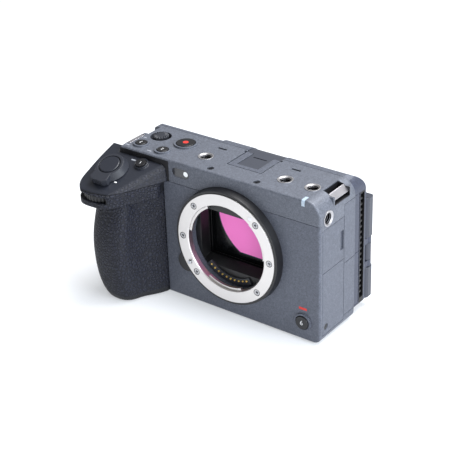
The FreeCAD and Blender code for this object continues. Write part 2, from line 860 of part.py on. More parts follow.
def make_front_cover():
    """Front shell with the seat of the lens mount and the front buttons."""
    zone = block((grip_split + half_seam, far), (-far, behind(front_wrap)), (-1, top_seam - half_seam))
    side = block((body_right - wall - 0.95, far), (behind(door_front_gap), far), (-1, far))
    shell = casing.common(zone.cut(side))
    seat = rod(0, front - flange_proud + ring_thickness, lens_height, ring_radius - 0.05,
               flange_proud - ring_thickness + wall, (0, 1, 0))
    shell = shell.fuse(seat)
    shell = shell.fuse(rod(front_button[0], front + 0.5, front_button[1],
                           front_button_radius + button_play + collar_wall, front_collar + 0.5, (0, -1, 0)))
    shell = shell.removeSplitter()
    shell = shell.cut(rod(0, front - 10, lens_height, throat_radius + 0.3, 20, (0, 1, 0)))
    shell = shell.cut(rod(front_button[0], front - 5, front_button[1],
                          front_button_radius + button_play, 20, (0, 1, 0)))
    x, z = place_on_lens(lens_button_circle, lock_pin_angle)
    hole = rod(x, front - 1, z, lens_button_radius + button_play, 10, (0, 1, 0))
    hole = hole.cut(rod(0, front - 10, lens_height, ring_radius - 0.05, 20, (0, 1, 0)))
    shell = shell.cut(hole)
    x, z = place_on_lens(lock_pin_circle, lock_pin_angle)
    shell = shell.cut(rod(x, front - 10, z, lock_pin_radius + 0.15, 20, (0, 1, 0)))
    for angle in mount_screw_angles:
        x, z = place_on_lens(screw_circle, angle)
        shell = shell.cut(rod(x, front - 10, z, screw_shank_radius, 10 + wall, (0, 1, 0)))
    return shell.cut(door_zone())


mount_screw_angles = [0, 45, 135, 180, 225, 315]
lug_angles = [145, 25, 265]
mount_head_radius = 1.35
mount_head = 1.0
ring_front = front - flange_proud


def make_mount_ring():
    """Steel bayonet ring with three lugs inside its throat."""
    ring = tube(0, ring_front, lens_height, throat_radius, ring_radius, ring_thickness, (0, 1, 0))
    sharp = [e for e in ring.Edges if abs(e.BoundBox.YMax - ring_front) < 0.01]
    ring = ring.makeChamfer(ring_chamfer, [e for e in sharp if e.Curve.Radius < throat_radius + 1])
    lugs = tube(0, ring_front + lug_depth, lens_height, lug_radius, throat_radius + 0.5, lug_thickness,
                (0, 1, 0))
    for angle in lug_angles:
        points = [(0, lens_height)]
        for step in (-0.5, -0.25, 0, 0.25, 0.5):
            points.append(place_on_lens(ring_radius, angle + step * lug_span))
        ring = ring.fuse(lugs.common(prism_y(points, (ring_front, ring_front + ring_thickness))))
    ring = ring.removeSplitter()
    for angle in mount_screw_angles:
        x, z = place_on_lens(screw_circle, angle)
        ring = ring.cut(rod(x, ring_front - 1, z, mount_head_radius + 0.05, mount_head + 1.1, (0, 1, 0)))
        ring = ring.cut(rod(x, ring_front - 1, z, screw_shank_radius, 10, (0, 1, 0)))
    x, z = place_on_lens(lock_pin_circle, lock_pin_angle)
    return ring.cut(rod(x, ring_front - 1, z, lock_pin_radius + 0.15, 10, (0, 1, 0)))


def make_mount_collar():
    """Black collar round the bayonet ring, tapered towards its lip."""
    height = flange_proud - collar_drop
    outer = Part.makeCone(collar_radius, collar_radius - collar_taper, height, V(0, front, lens_height),
                          V(0, -1, 0))
    collar = outer.cut(rod(0, front + 1, lens_height, ring_radius + 0.05, 10, (0, -1, 0)))
    x, z = place_on_lens(lens_button_circle, lock_pin_angle)
    return collar.cut(rod(x, front + 1, z, lens_button_radius + button_play,
                          lens_button_proud + 1 + button_play, (0, -1, 0)))


def make_screws():
    """All the fixing screws: lens mount, top, side and base."""
    screws = []
    for angle in mount_screw_angles:
        x, z = place_on_lens(screw_circle, angle)
        screws.append(screw(x, ring_front + 0.1, z, (0, 1, 0), mount_head_radius, mount_head,
                            screw_shank_radius, flange_proud + wall - 0.3))
    for side in (-1, 1):
        screws.append(screw(side * case_screw_x, behind(case_screw_back), top - 0.35, (0, 0, -1),
                            screw_head_radius - 0.1, 0.85, screw_shank_radius, screw_length))
    for x, y in base_screws:
        screws.append(screw(x, y, 0.3, (0, 0, 1), screw_head_radius - 0.1, 0.85,
                            screw_shank_radius, screw_length))
    return group(screws)


base_screws = [(-34.0, behind(9.5)), (44.0, behind(9.5)), (-34.0, behind(27.0)), (44.0, behind(27.0))]
base_boss_height = 5.0
socket_boss_height = 8.0


def make_base_plate():
    """Base shell with the bosses of the tripod socket and of its screws."""
    zone = block((grip_split + half_seam, body_right - wall - 1.0),
                 (behind(front_wrap) + seam, split_back - half_seam),
                 (-1, wall + 0.01))
    plate = casing.common(zone)
    plate = plate.fuse(rod(0, 0, wall / 2, insert_radius + boss_wall, socket_boss_height - wall / 2,
                           (0, 0, 1)))
    for x, y in base_screws:
        plate = plate.fuse(rod(x, y, wall / 2, screw_shank_radius + 1.4, base_boss_height, (0, 0, 1)))
    plate = plate.removeSplitter()
    plate = plate.cut(rod(0, 0, -1, insert_radius, insert_depth + 1, (0, 0, 1)))
    for x, y in base_screws:
        plate = plate.cut(screw_space(x, y, 0.3, (0, 0, 1)))
    return plate


def insert(x, y, z, axis, chamfer):
    """Threaded steel insert whose rim top is at the point and which opens along the axis."""
    along = V(*axis)
    start = V(x, y, z)
    body = Part.makeCylinder(insert_radius, insert_depth, start - along * insert_depth, along)
    body = body.cut(Part.makeCylinder(thread_radius, insert_depth - 0.8, start - along * (insert_depth - 0.8),
                                      along))
    if chamfer == 0:
        return body
    cone = Part.makeCone(thread_radius, insert_radius - 0.55, chamfer, start - along * chamfer, along)
    return body.cut(cone)


def make_thread_inserts():
    """Six identical threaded inserts: three on top, one each side, one in the base."""
    inserts = []
    for x, depth in insert_places:
        inserts.append(insert(x, behind(depth), top + insert_proud, (0, 0, 1), insert_chamfer))
    inserts.append(insert(body_right + insert_proud, behind(side_insert_back), side_insert_height, (1, 0, 0),
                          insert_chamfer))
    inserts.append(insert(body_left - insert_proud, behind(grip_insert_back), grip_insert_height, (-1, 0, 0),
                          insert_chamfer))
    inserts.append(insert(0, 0, 0, (0, 0, -1), 0))
    return group(inserts)


def make_accessory_shoe():
    """Shoe frame: a plate with two side walls and the lips over the slot."""
    y = (behind(shoe_front), behind(shoe_back))
    high = top - shoe_sunk
    frame = block((-shoe_half, shoe_half), y, (shoe_floor, high))
    slot_floor = shoe_floor + shoe_plate
    frame = frame.cut(block((-shoe_half + 0.9, shoe_half - 0.9), (y[0] + shoe_bridge, y[1] + 5),
                            (slot_floor, high - shoe_lip)))
    return frame.cut(block((-shoe_throat, shoe_throat), (y[0] + shoe_bridge, y[1] + 5),
                           (slot_floor, top + 5)))


def make_shoe_cover():
    """Sliding cover that fills the shoe's slot."""
    play = 0.3
    y = (behind(shoe_front) + shoe_bridge + play, behind(shoe_back) + 0.6)
    slot_floor = shoe_floor + shoe_plate
    tongue = block((-shoe_half + 0.9 + play, shoe_half - 0.9 - play), y,
                   (slot_floor + play, top - shoe_sunk - shoe_lip - play))
    crown = block((-shoe_throat + play, shoe_throat - play), y, (slot_floor + play, top - shoe_sunk - 0.2))
    hump = outer_form.copy()
    hump.translate(V(0, 0, -shoe_tail_drop))
    tail = block((-shoe_tail_half, shoe_tail_half), (behind(shoe_back) + play, behind(shoe_tail_back)),
                 (shoe_floor + play, far))
    cover = join([tongue, crown, tail.common(hump)])
    rib = block((-4.2, 4.2), (y[1] - 4.2, y[1] - 3.4), (top - 0.8, top + 1))
    return cover.cut(rib)


# Rear cover, fan hump and vent
trench_back = 38.0
knuckle_radius = 2.55
monitor_axis = (monitor_right - 2.6, behind(monitor_front + monitor_thickness - 2.7))
monitor_middle = behind(monitor_front + monitor_thickness / 2)
arm_gap = 0.3
fixed_knuckle = 3.4
board_back = 28.4         # key board behind the rear controls
key_board_thickness = 0.8
wheel_place = (-47.5, 33.0)
wheel_radius = 9.5
wheel_inner = 5.35
wheel_seat = 1.0
wheel_proud = 1.6
wheel_button_radius = 4.0
menu_place = (-57.8, body_height - 17.1)
playback_place = (-62.0, 13.0)
switch_place = (-36.0, body_height - 15.6)
switch_travel = 4.0
switch_knob = 3.0
switch_tall = 2.0


def make_rear_cover():
    """Rear shell: control face behind the grip, fan hump with its vent, monitor knuckles."""
    shell = casing.common(block((-far, far), (split_back + half_seam, far), (-1, far)))
    trench = block((-shoe_half - 1.6, shoe_half + 1.6), (split_back + half_seam, behind(trench_back)),
                   (shoe_floor - 1.0, top_inside))
    shell = shell.fuse(trench.common(outer_form))
    x, y = monitor_axis
    for low in (arm_floor, arm_top - fixed_knuckle):
        shell = shell.fuse(rod(x, y, low, knuckle_radius, fixed_knuckle, (0, 0, 1)))
        shell = shell.fuse(block((x - 2.4, x + 2.0), (hump_back - wall, y), (low, low + fixed_knuckle)))
    pillar = block((rear_hinge[0] - 4.0, right_in), (behind(door_rear - 4.5), behind(door_rear + 0.3)),
                   (door_top - 1.0, door_top + 3.0))
    sill = block((rear_hinge[0] - 4.0, right_in), (behind(door_rear - 4.5), behind(door_rear + 0.3)),
                 (hump_floor + 0.2, door_floor_rear))
    shell = join([shell, pillar.common(outer_form), sill.common(outer_form)])
    shell = shell.cut(shoe_pocket())
    shell = shell.cut(door_zone())
    shell = shell.cut(vent_space())
    shell = shell.fuse(vent_teeth())
    shell = shell.removeSplitter()
    shell = shell.cut(shifted_pin(rear_hinge, door_floor_rear - pin_end, door_top + pin_end))
    shell = shell.cut(rod(x, y, arm_floor + 0.4, hinge_pin_radius, arm_top - arm_floor - 0.8, (0, 0, 1)))
    x, z = wheel_place
    shell = shell.cut(tube(x, left_back - wheel_seat, z, wheel_inner - running_fit,
                           wheel_radius + button_play, 5, (0, 1, 0)))
    shell = shell.cut(rod(x, left_back - 5, z, wheel_button_radius + button_play, 10, (0, 1, 0)))
    for x, z in (menu_place, playback_place):
        shell = shell.cut(rod(x, left_back - 5, z, small_button_radius + button_play, 10, (0, 1, 0)))
    x, z = switch_place
    slot = rounded_bar((x - switch_knob / 2 - 0.3, x + switch_knob / 2 + switch_travel + 0.3),
                       (z - switch_tall / 2 - 0.3, z + switch_tall / 2 + 0.3), [0.5] * 4,
                       (left_back - 5, left_back + 5))
    return shell.cut(slot)


def vent_space():
    """Tall air slot in the side of the hump."""
    return block((right_in - wall - 0.5, far), (behind(vent_front), behind(vent_back)),
                 (vent_floor, vent_top))


def vent_teeth():
    """Short teeth across the front part of the air slot."""
    teeth = []
    count = int((vent_top - vent_floor) / vent_pitch)
    for i in range(count):
        z = vent_floor + vent_pitch * (i + 0.9)
        teeth.append(block((right_in - wall, right_in - 0.35),
                           (behind(vent_front) - 0.01, behind(vent_front + vent_tooth_reach)),
                           (z, z + vent_tooth)))
    return group(teeth)


# Monitor on its swinging arm
arm_leaf = 9.9
tilt_pin_radius = 1.1
screen_right = 36.5
screen_edge = 2.2
screen_thickness = 0.9


def make_monitor_arm():
    """Arm that swings on the upright hinge pin and carries the tilt pin of the monitor."""
    x, y = monitor_axis
    low = arm_floor + fixed_knuckle + arm_gap
    high = arm_top - fixed_knuckle - arm_gap
    barrel = rod(x, y, low, knuckle_radius, high - low, (0, 0, 1))
    leaf = block((x - arm_leaf, x),
                 (behind(monitor_front + 0.15), behind(monitor_front + monitor_thickness - 0.15)),
                 (low, high))
    tilt_pin = rod(x - arm_leaf + 0.5, monitor_middle, (low + high) / 2, tilt_pin_radius, 6.0, (-1, 0, 0))
    arm = join([barrel, leaf, tilt_pin])
    return arm.cut(rod(x, y, low - 1, hinge_pin_radius + running_fit, high - low + 2, (0, 0, 1)))


def monitor_outline(inset):
    """Monitor seen from above: a plate rounded at the hinge so that it clears the hump."""
    y = (behind(monitor_front) + inset, behind(monitor_front + monitor_thickness) - inset)
    x = (monitor_left + inset, monitor_right - inset)
    points = [(x[0], y[0]), (x[1], y[0]), (x[1], y[1]), (x[0], y[1])]
    return rounded_wire(points, [1.2, 2.6, 1.7, 1.2], lambda p: V(p.x, p.y, monitor_floor + inset))


def screen_space(play):
    """Pocket for the screen in the rear face of the monitor."""
    back = behind(monitor_front + monitor_thickness)
    return block((monitor_left + screen_edge - play, screen_right + play),
                 (back - screen_thickness, back + 5),
                 (monitor_floor + screen_edge + 0.8 - play, monitor_top - screen_edge + play))


def make_monitor_case():
    """Monitor housing with the notch for its arm."""
    case = Part.Face(monitor_outline(0)).extrude(V(0, 0, monitor_top - monitor_floor))
    x, y = monitor_axis
    case = case.cut(block((x - arm_leaf - 0.2, x + 10), (y - 10, y + 10), (arm_floor - 0.3, arm_top + 0.3)))
    case = case.cut(screen_space(0.05))
    tilt_height = (arm_floor + arm_top) / 2
    case = case.cut(rod(x, monitor_middle, tilt_height, tilt_pin_radius, arm_leaf + 5.5, (-1, 0, 0)))
    split = monitor_front + 2.2
    groove = block((monitor_left - 1, far), (behind(split - 0.1), behind(split + 0.1)), (0, far))
    core = block((monitor_left + 0.3, monitor_right - 0.3), (behind(split - 1), behind(split + 1)),
                 (monitor_floor + 0.3, monitor_top - 0.3))
    return case.cut(groove.cut(core))


def make_monitor_screen():
    """Glass front of the screen."""
    back = behind(monitor_front + monitor_thickness)
    return screen_space(0).common(block((-far, far), (back - screen_thickness, back), (0, far)))


# Grip
def battery_block(grow, low, high):
    """Battery outline grown by a play, between two heights."""
    x = (battery_left - grow, battery_left + battery_width + grow)
    y = (behind(battery_front) - grow, behind(battery_front + battery_depth) + grow)
    return rounded_plate(x, y, battery_corner, (low, high))


battery_door_low = 0.4
battery_door_high = battery_door_low + battery_door_thickness
door_margin = 0.9
door_end = 2.4            # strip beside the knuckle at each end of the battery door
door_end_gap = 1.7
card_low = 20.0
card_high = grip_insert_height - 11.0
card_front = 25.1
card_slot = 2.8
card_reach = 23.0
card_door_front = 24.0
card_door_low = 18.0
card_door_high = grip_insert_height - 9.0
dial_play = 0.4
dial_window_right = -57.2
dial_window_back = -20.5
dial_bore = 1.0


def battery_door_form(grow, low, high):
    """Battery door outline with round corners."""
    x = (battery_left - bay_play - door_margin - grow,
         battery_left + battery_width + bay_play + door_margin + grow)
    y = (behind(battery_front) - bay_play - door_margin - grow,
         behind(battery_front + battery_depth) + bay_play + door_margin + grow)
    return rounded_plate(x, y, 2.4, (low, high))


battery_hinge = (battery_left + battery_width + bay_play + door_margin - battery_door_thickness / 2,
                 battery_door_low + battery_door_thickness / 2)
door_y = (behind(battery_front) - bay_play - door_margin,
          behind(battery_front + battery_depth) + bay_play + door_margin)
card_hinge = (body_left + hinge_out, split_back - half_seam - 1.0)
latch_x = -68.0
latch_y = behind(2.0)
latch_width = 3.0
latch_long = 5.0
latch_travel = 2.5
latch_thickness = 0.8


def card_door_zone():
    """Space that the card door takes in the left side."""
    return block((body_left - 20, body_left + door_thickness + door_gap),
                 (behind(card_door_front) - door_gap, split_back + 0.2),
                 (card_door_low - door_gap, card_door_high + door_gap))


def dial_cavity():
    """Round slot in the head of the grip for the front dial."""
    low = dial_height - moving_gap
    return rod(dial_x, behind(dial_back), low, dial_radius + dial_play,
               dial_thickness + 2 * moving_gap, (0, 0, 1))


def make_grip_shell():
    """Left body shell with the core of the grip, the battery bay and the card slot."""
    lower = block((-far, grip_split - half_seam), (-far, split_back - half_seam), (-1, top_seam - half_seam))
    shell = casing.common(lower)
    core = hood_core.fuse(stem_core).common(seam_zone(0))
    core = core.fuse(stem_out.common(block((-far, far), (-far, far), (stem_floor, stem_floor + 2.4))))
    core = core.common(block((-far, grip_split - half_seam), (-far, split_back), (-1, top_seam - half_seam)))
    room = block((-48.6, -41.0), (front + wall, split_back), (stem_floor + 2.4, top_seam + 1))
    core = core.cut(room)
    bay = battery_block(bay_play + 1.0, wall, battery_floor + battery_height + 1.4)
    bay = bay.cut(block((-far, far), (-far, behind(0.5)), (-far, far)))
    card_block = block((body_left + wall - 0.5, body_left + wall + card_reach + 1.2),
                       (behind(card_front - 0.8), behind(card_front + card_slot + 0.4)),
                       (card_door_low - door_gap - 1.5, card_door_high + door_gap + 1.5))
    boss = rod(body_left + 0.6, behind(grip_insert_back), grip_insert_height, insert_radius + 1.0,
               insert_depth, (1, 0, 0))
    boss = boss.common(block((-far, far), (-far, split_back - half_seam), (-far, far)))
    shell = join([shell, core, bay, card_block, boss])
    shell = shell.cut(battery_block(bay_play, -5, battery_floor + battery_height + 0.4))
    shell = shell.cut(battery_door_form(door_gap, -5, battery_door_high + 0.3))
    shell = shell.cut(card_door_zone())
    shell = shell.cut(block((body_left - 5, body_left + wall + card_reach),
                            (behind(card_front), behind(card_front + card_slot)), (card_low, card_high)))
    shell = shell.cut(rod(body_left, behind(grip_insert_back), grip_insert_height, insert_radius + 1.0, 12,
                          (-1, 0, 0)))
    shell = shell.cut(rod(body_left - 1, behind(grip_insert_back), grip_insert_height, insert_radius,
                          insert_depth + 1 - insert_proud, (1, 0, 0)))
    shell = shell.cut(dial_cavity()).cut(dial_window())
    shell = shell.cut(dial_pin())
    shell = shell.cut(shifted_pin(card_hinge, card_door_low - pin_end, card_door_high + pin_end))
    shell = shell.cut(battery_pin())
    shell = shell.cut(shutter_switch()).cut(deck_switch())
    return shell


def dial_window():
    """Rectangular window in the head's front through which the dial's rim shows."""
    low = dial_height - moving_gap
    return block((-far, dial_window_right), (-far, behind(dial_window_back)),
                 (low, low + dial_thickness + 2 * moving_gap))


def dial_pin():
    """Upright axle of the front dial."""
    return rod(dial_x, behind(dial_back), dial_height - 1.4, dial_bore, dial_thickness + 3.0, (0, 0, 1))


def battery_pin():
    """Hinge pin of the battery door."""
    return rod(battery_hinge[0], door_y[0] - pin_end, battery_hinge[1], door_pin_radius,
               door_y[1] - door_y[0] + 2 * pin_end, (0, 1, 0))


def make_grip_rubber(shell):
    """Grained skin of the grip below the head's seam."""
    skin = grip_form.cut(hood(rubber - skin_play)).cut(stem(rubber - skin_play))
    skin = skin.common(seam_zone(seam))
    skin = skin.cut(outer_form)
    skin = skin.common(block((-far, grip_split - half_seam), (-far, far), (stem_floor + 2.4, far)))
    skin = skin.cut(dial_cavity()).cut(dial_window()).cut(dial_pin())
    skin = skin.cut(rod(body_left + 3, behind(grip_insert_back), grip_insert_height, insert_radius + 1.1, 15,
                        (-1, 0, 0)))
    return skin.cut(shell)


# Tilted deck of the grip and its controls
def on_deck(shape, x, depth):
    """Move a shape built round +z at the origin onto the tilted deck."""
    moved = shape.copy()
    moved.rotate(V(0, 0, 0), V(1, 0, 0), deck_tilt)
    moved.translate(V(x, behind(depth), deck_height + depth * deck_slope))
    return moved


lever_inner = 6.0
lever_outer = 9.2           # ring at its foot
lever_crown = 7.4           # ring at its top
lever_low = 0.35
lever_height = 3.6
lever_tab = 11.6
lever_tab_width = 9.6
shutter_cap = 5.4
shutter_top = 4.3
shutter_travel = 1.5
shutter_skirt = 1.9
shutter_stem = 3.2
shutter_wall = 1.8        # deck thickness under the shutter
deck_cap_top = 1.8


def make_grip_deck():
    """Smooth cap over the head of the grip with the bushing of the shutter button."""
    above = block((-120, 0), (-far, front - 0.1), (-far, far))
    above = above.fuse(block((-120, body_left - 0.1), (-far, behind(hood_back) + 1), (-far, far)))
    above = above.cut(seam_zone(-seam))
    inner = hood(grip_wall)
    deck = hood_out.cut(inner)
    deck = deck.common(above)
    collar = on_deck(tube(0, 0, -0.5, deck_button_radius + button_play,
                          deck_button_radius + button_play + deck_collar_wall, 0.5 + deck_collar_height,
                          (0, 0, 1)),
                     deck_button_x, deck_button_back)
    bushing = on_deck(tube(0, 0, -0.5, shutter_cap + moving_gap - 0.1, lever_inner - running_fit,
                           0.5 + lever_low + lever_height - 0.3, (0, 0, 1)), shutter_x, shutter_back)
    deck = join([deck, collar, bushing])
    deck = deck.cut(on_deck(rod(0, 0, -5, 1.8, 10, (0, 0, 1)), shutter_x, shutter_back))
    return deck.cut(on_deck(rod(0, 0, -5, deck_button_radius + button_play, 10, (0, 0, 1)),
                            deck_button_x, deck_button_back))


def make_shutter_button():
    """Shutter release with its stem and retaining flange."""
    cap = rod(0, 0, shutter_skirt, shutter_cap, shutter_top - shutter_skirt, (0, 0, 1))
    cap = cap.makeFillet(0.5, [e for e in cap.Edges if e.BoundBox.ZMin > shutter_top - 0.01])
    stem_rod = rod(0, 0, -shutter_stem, 1.4, shutter_stem + shutter_skirt + 0.1, (0, 0, 1))
    flange = rod(0, 0, -shutter_stem, 2.4, shutter_stem - shutter_wall - 0.3, (0, 0, 1))
    return on_deck(join([cap, stem_rod, flange]), shutter_x, shutter_back)


def make_zoom_lever():
    """Ring with a ribbed finger tab that turns round the shutter button."""
    ring = Part.makeCone(lever_outer, lever_crown, lever_height, V(0, 0, lever_low), V(0, 0, 1))
    half = lever_tab_width / 2
    tab = prism_z([(-half, -4.0), (-half - 0.6, -lever_tab + 1.6), (-half + 1.6, -lever_tab),
                   (half - 1.6, -lever_tab), (half + 0.6, -lever_tab + 1.6), (half, -4.0)],
                  (lever_low, lever_low + lever_height))
    lever = join([ring, tab])
    for i in range(-3, 4):
        lever = lever.cut(rod(i * 1.25, -lever_tab - 0.1, lever_low - 1, 0.35, lever_height + 2, (0, 0, 1)))
    lever = lever.cut(rod(0, 0, -1, lever_inner, 10, (0, 0, 1)))
    return on_deck(lever, shutter_x, shutter_back)


deck_stem = 5.0
deck_collar_wall = 0.6
deck_collar_height = 1.1


def make_deck_button():
    """Numbered button on the grip deck."""
    cap = rod(0, 0, -2.5, deck_button_radius, 2.5 + deck_cap_top, (0, 0, 1))
    flange = rod(0, 0, -2.6, deck_button_radius + 0.7, 0.5, (0, 0, 1))
    stem_rod = rod(0, 0, -deck_stem, 1.3, deck_stem - 2.0, (0, 0, 1))
    return on_deck(join([cap, flange, stem_rod]), deck_button_x, deck_button_back)


def shutter_switch():
    """Switch under the shutter button's stem."""
    return on_deck(rod(0, 0, -6.8, dome_radius, 6.8 - shutter_stem - shutter_travel - 0.05, (0, 0, 1)),
                   shutter_x, shutter_back)


def deck_switch():
    """Switch under the deck button's stem."""
    return on_deck(rod(0, 0, -9.6, dome_radius, 9.6 - deck_stem - button_travel - 0.05, (0, 0, 1)),
                   deck_button_x, deck_button_back)


def make_front_dial():
    """Knurled dial in the head of the grip."""
    dial = rod(dial_x, behind(dial_back), dial_height, dial_radius, dial_thickness, (0, 0, 1))
    return knurled(dial, (dial_x, behind(dial_back)), dial_radius, 36, 0.42,
                   (dial_height, dial_height + dial_thickness)).cut(
        rod(dial_x, behind(dial_back), dial_height - 1, dial_bore + running_fit, 10, (0, 0, 1)))


def knurled(dial, centre, radius, count, notch, z):
    """Dial with round notches along its rim."""
    notches = []
    for i in range(count):
        turn = 2 * math.pi * i / count
        notches.append(rod(centre[0] + radius * math.cos(turn), centre[1] + radius * math.sin(turn),
                           z[0] - 1, notch, z[1] - z[0] + 2, (0, 0, 1)))
    return dial.cut(group(notches))


def make_rear_dial():
    """Knurled ring round the cup of the stick."""
    centre = (stick[0], behind(stick[1]))
    ring = rod(centre[0], centre[1], rear_dial_low, rear_dial_radius, rear_dial_thickness, (0, 0, 1))
    ring = knurled(ring, centre, rear_dial_radius, 32, 0.42,
                   (rear_dial_low, rear_dial_low + rear_dial_thickness))
    return ring.cut(rod(centre[0], centre[1], rear_dial_low - 1, stick_hole + stick_wall + running_fit, 10,
                        (0, 0, 1)))


# Buttons and the stick
key_stem = 1.3
key_flange = 0.6
key_lip = 0.7


def button(radius, proud, stem_end):
    """Button round +z whose wall surface is at zero, with its flange and stem."""
    low = -wall - 0.3 - key_flange
    cap = rod(0, 0, low, radius, proud - low, (0, 0, 1))
    cap = cap.makeFillet(0.3, [e for e in cap.Edges if e.BoundBox.ZMin > proud - 0.01])
    flange = rod(0, 0, low, radius + key_lip, key_flange, (0, 0, 1))
    stem_rod = rod(0, 0, stem_end, key_stem, low - stem_end + 0.1, (0, 0, 1))
    return join([cap, flange, stem_rod])


def facing(shape, origin, axis):
    """Turn a shape built round +z to another axis and move it to a point."""
    turned = shape.copy()
    turned.Placement = FreeCAD.Placement(V(*origin), FreeCAD.Rotation(V(0, 0, 1), V(*axis)))
    return turned


top_stem = board_top + dome_height + button_travel + 0.05 - top
top_proud = collar_height + 0.3


def top_button(place, radius):
    """Button in the top cover."""
    return facing(button(radius, top_proud, top_stem), (place[0], behind(place[1]), top), (0, 0, 1))


rear_dome = behind(board_back + key_board_thickness + 0.55)
rear_stem = rear_dome + button_travel + 0.05 - left_back


def rear_button(place, radius, proud):
    """Button in the control face behind the grip."""
    return facing(button(radius, proud, rear_stem), (place[0], left_back, place[1]), (0, 1, 0))


front_board = 5.2
front_dome = behind(front_board - 0.55)
front_stem = -(front_dome - button_travel - 0.05 - front)


def make_front_record_button():
    """Record button in the front cover."""
    return facing(button(front_button_radius, 1.4, front_stem), (front_button[0], front, front_button[1]),
                  (0, -1, 0))


stick_pivot = board_top + 3.2
stick_travel = 0.5
stick_base_low = board_top + dome_height + stick_travel + 0.05


def make_joystick_base():
    """Plate that is pressed down in the cup and holds the gimbal."""
    x, y = stick[0], behind(stick[1])
    plate = rod(x, y, stick_base_low, 5.1, 0.8, (0, 0, 1))
    ears = []
    for side in (-1, 1):
        ear = block((x + side * 3.9 - 0.5, x + side * 3.9 + 0.5), (y - 1.0, y + 1.0),
                    (stick_base_low + 0.5, stick_pivot + 0.7))
        ears.append(ear.cut(rod(x - 5, y, stick_pivot, 0.4, 10, (1, 0, 0))))
    return join([plate] + ears)


def make_joystick_gimbal():
    """Ring that tilts about x in the base and holds the cap's pivot."""
    x, y = stick[0], behind(stick[1])
    ring = tube(x, y, stick_pivot - 0.5, 1.9, 2.9, 1.0, (0, 0, 1))
    pins = []
    for side in (-1, 1):
        pins.append(rod(x + side * 2.6, y, stick_pivot, 0.35, 1.7, (side, 0, 0)))
    ring = join([ring] + pins)
    return ring.cut(rod(x, y - 5, stick_pivot, 0.4, 10, (0, 1, 0)))


def make_joystick_cap():
    """Stick cap that tilts about y in the gimbal."""
    x, y = stick[0], behind(stick[1])
    neck = rod(x, y, stick_pivot - 0.4, 1.1, 2.4, (0, 0, 1))
    pins = rod(x, y - 2.6, stick_pivot, 0.35, 5.2, (0, 1, 0))
    cap = rod(x, y, stick_pivot + 1.9, 4.2, 1.5, (0, 0, 1))
    cap = cap.makeChamfer(0.4, [e for e in cap.Edges if e.BoundBox.ZMax < stick_pivot + 1.91])
    cap = cap.makeFillet(0.5, [e for e in cap.Edges if e.BoundBox.ZMin > stick_pivot + 3.39])
    cap = join([neck, pins, cap])
    for i in range(-3, 4):
        across = 2 * math.sqrt(4.2 ** 2 - i ** 2) + 2
        cap = cap.cut(block((x + i - 0.15, x + i + 0.15), (y - across / 2, y + across / 2),
                            (stick_pivot + 3.15, stick_pivot + 5)))
        cap = cap.cut(block((x - across / 2, x + across / 2), (y + i - 0.15, y + i + 0.15),
                            (stick_pivot + 3.15, stick_pivot + 5)))
    return cap


def make_lens_release_button():
    """Lens release with the bar that carries the lock pin."""
    x, z = place_on_lens(lens_button_circle, lock_pin_angle)
    cap = rod(x, front - lens_button_proud, z, lens_button_radius, lens_button_proud + 2.4, (0, 1, 0))
    cap = cap.cut(rod(0, front - 20, lens_height, ring_radius + 0.35, 40, (0, 1, 0)))
    near = place_on_lens(lock_pin_circle, lock_pin_angle)
    bar_y = (behind(2.2), behind(3.1))
    angle = math.radians(lock_pin_angle)
    side = (-math.sin(angle) * lock_pin_radius, math.cos(angle) * lock_pin_radius)
    bar = prism_y([(near[0] + side[0], near[1] + side[1]), (x + side[0], z + side[1]),
                   (x - side[0], z - side[1]), (near[0] - side[0], near[1] - side[1])], bar_y)
    end = rod(near[0], bar_y[0], near[1], lock_pin_radius, bar_y[1] - bar_y[0], (0, 1, 0))
    return join([cap, bar, end])


def make_lens_lock_pin():
    """Spring pin that locks the lens; it moves with the release button."""
    x, z = place_on_lens(lock_pin_circle, lock_pin_angle)
    tip = ring_front - 1.1
    return rod(x, tip, z, lock_pin_radius, behind(2.2) - tip, (0, 1, 0))


# Light box, shutter and sensor
box_wall = 1.2
flange_plate = 0.7
flange_radius = 24.3
contact_inner = 18.9
contact_outer = 22.7
contact_angle = -98.2       # middle of the row round the lens axis
contact_half_angle = 38.0
contact_count = 10
contact_circle = 20.2
contact_pitch = 7.27
contact_radius = 0.45
contact_face = 1.0          # face of the block behind the body's front
contact_proud = 0.45


def lens_block(half_x, half_z, y):
    """Box centred on the lens axis."""
    return block((-half_x, half_x), y, (lens_height - half_z, lens_height + half_z))


def make_light_box():
    """Black funnel from the throat to the shutter, with its mounting flange."""
    y0 = behind(wall + 0.1)
    y1 = behind(light_box_depth)
    body = lens_block(box_front_width / 2 + box_wall, box_front_height / 2 + box_wall, (y0, y1))
    flange = rod(0, y0, lens_height, flange_radius, flange_plate, (0, 1, 0))
    x, z = place_on_lens(lock_pin_circle, lock_pin_angle)
    far_x, far_z = place_on_lens(lens_button_circle + 3, lock_pin_angle)
    angle = math.radians(lock_pin_angle)
    side = (-math.sin(angle) * (lock_pin_radius + 0.35), math.cos(angle) * (lock_pin_radius + 0.35))
    notch = prism_y([(x + side[0], z + side[1]), (far_x + side[0], far_z + side[1]),
                     (far_x - side[0], far_z - side[1]), (x - side[0], z - side[1])], (y0 - 1, y1 + 1))
    notch = notch.fuse(rod(x, y0 - 1, z, lock_pin_radius + 0.35, 20, (0, 1, 0)))
    box = join([body, flange])
    box = box.cut(notch)
    opening = Part.makeLoft([lens_rectangle(box_front_width / 2, box_front_height / 2, y0 - 0.01),
                             lens_rectangle(gate_width / 2, gate_height / 2, y1 + 0.01)], True, True)
    return box.cut(opening)


def lens_rectangle(half_x, half_z, y):
    """Rectangular wire centred on the lens axis."""
    corners = [V(-half_x, y, lens_height - half_z), V(half_x, y, lens_height - half_z),
               V(half_x, y, lens_height + half_z), V(-half_x, y, lens_height + half_z)]
    return Part.makePolygon(corners + [corners[0]])


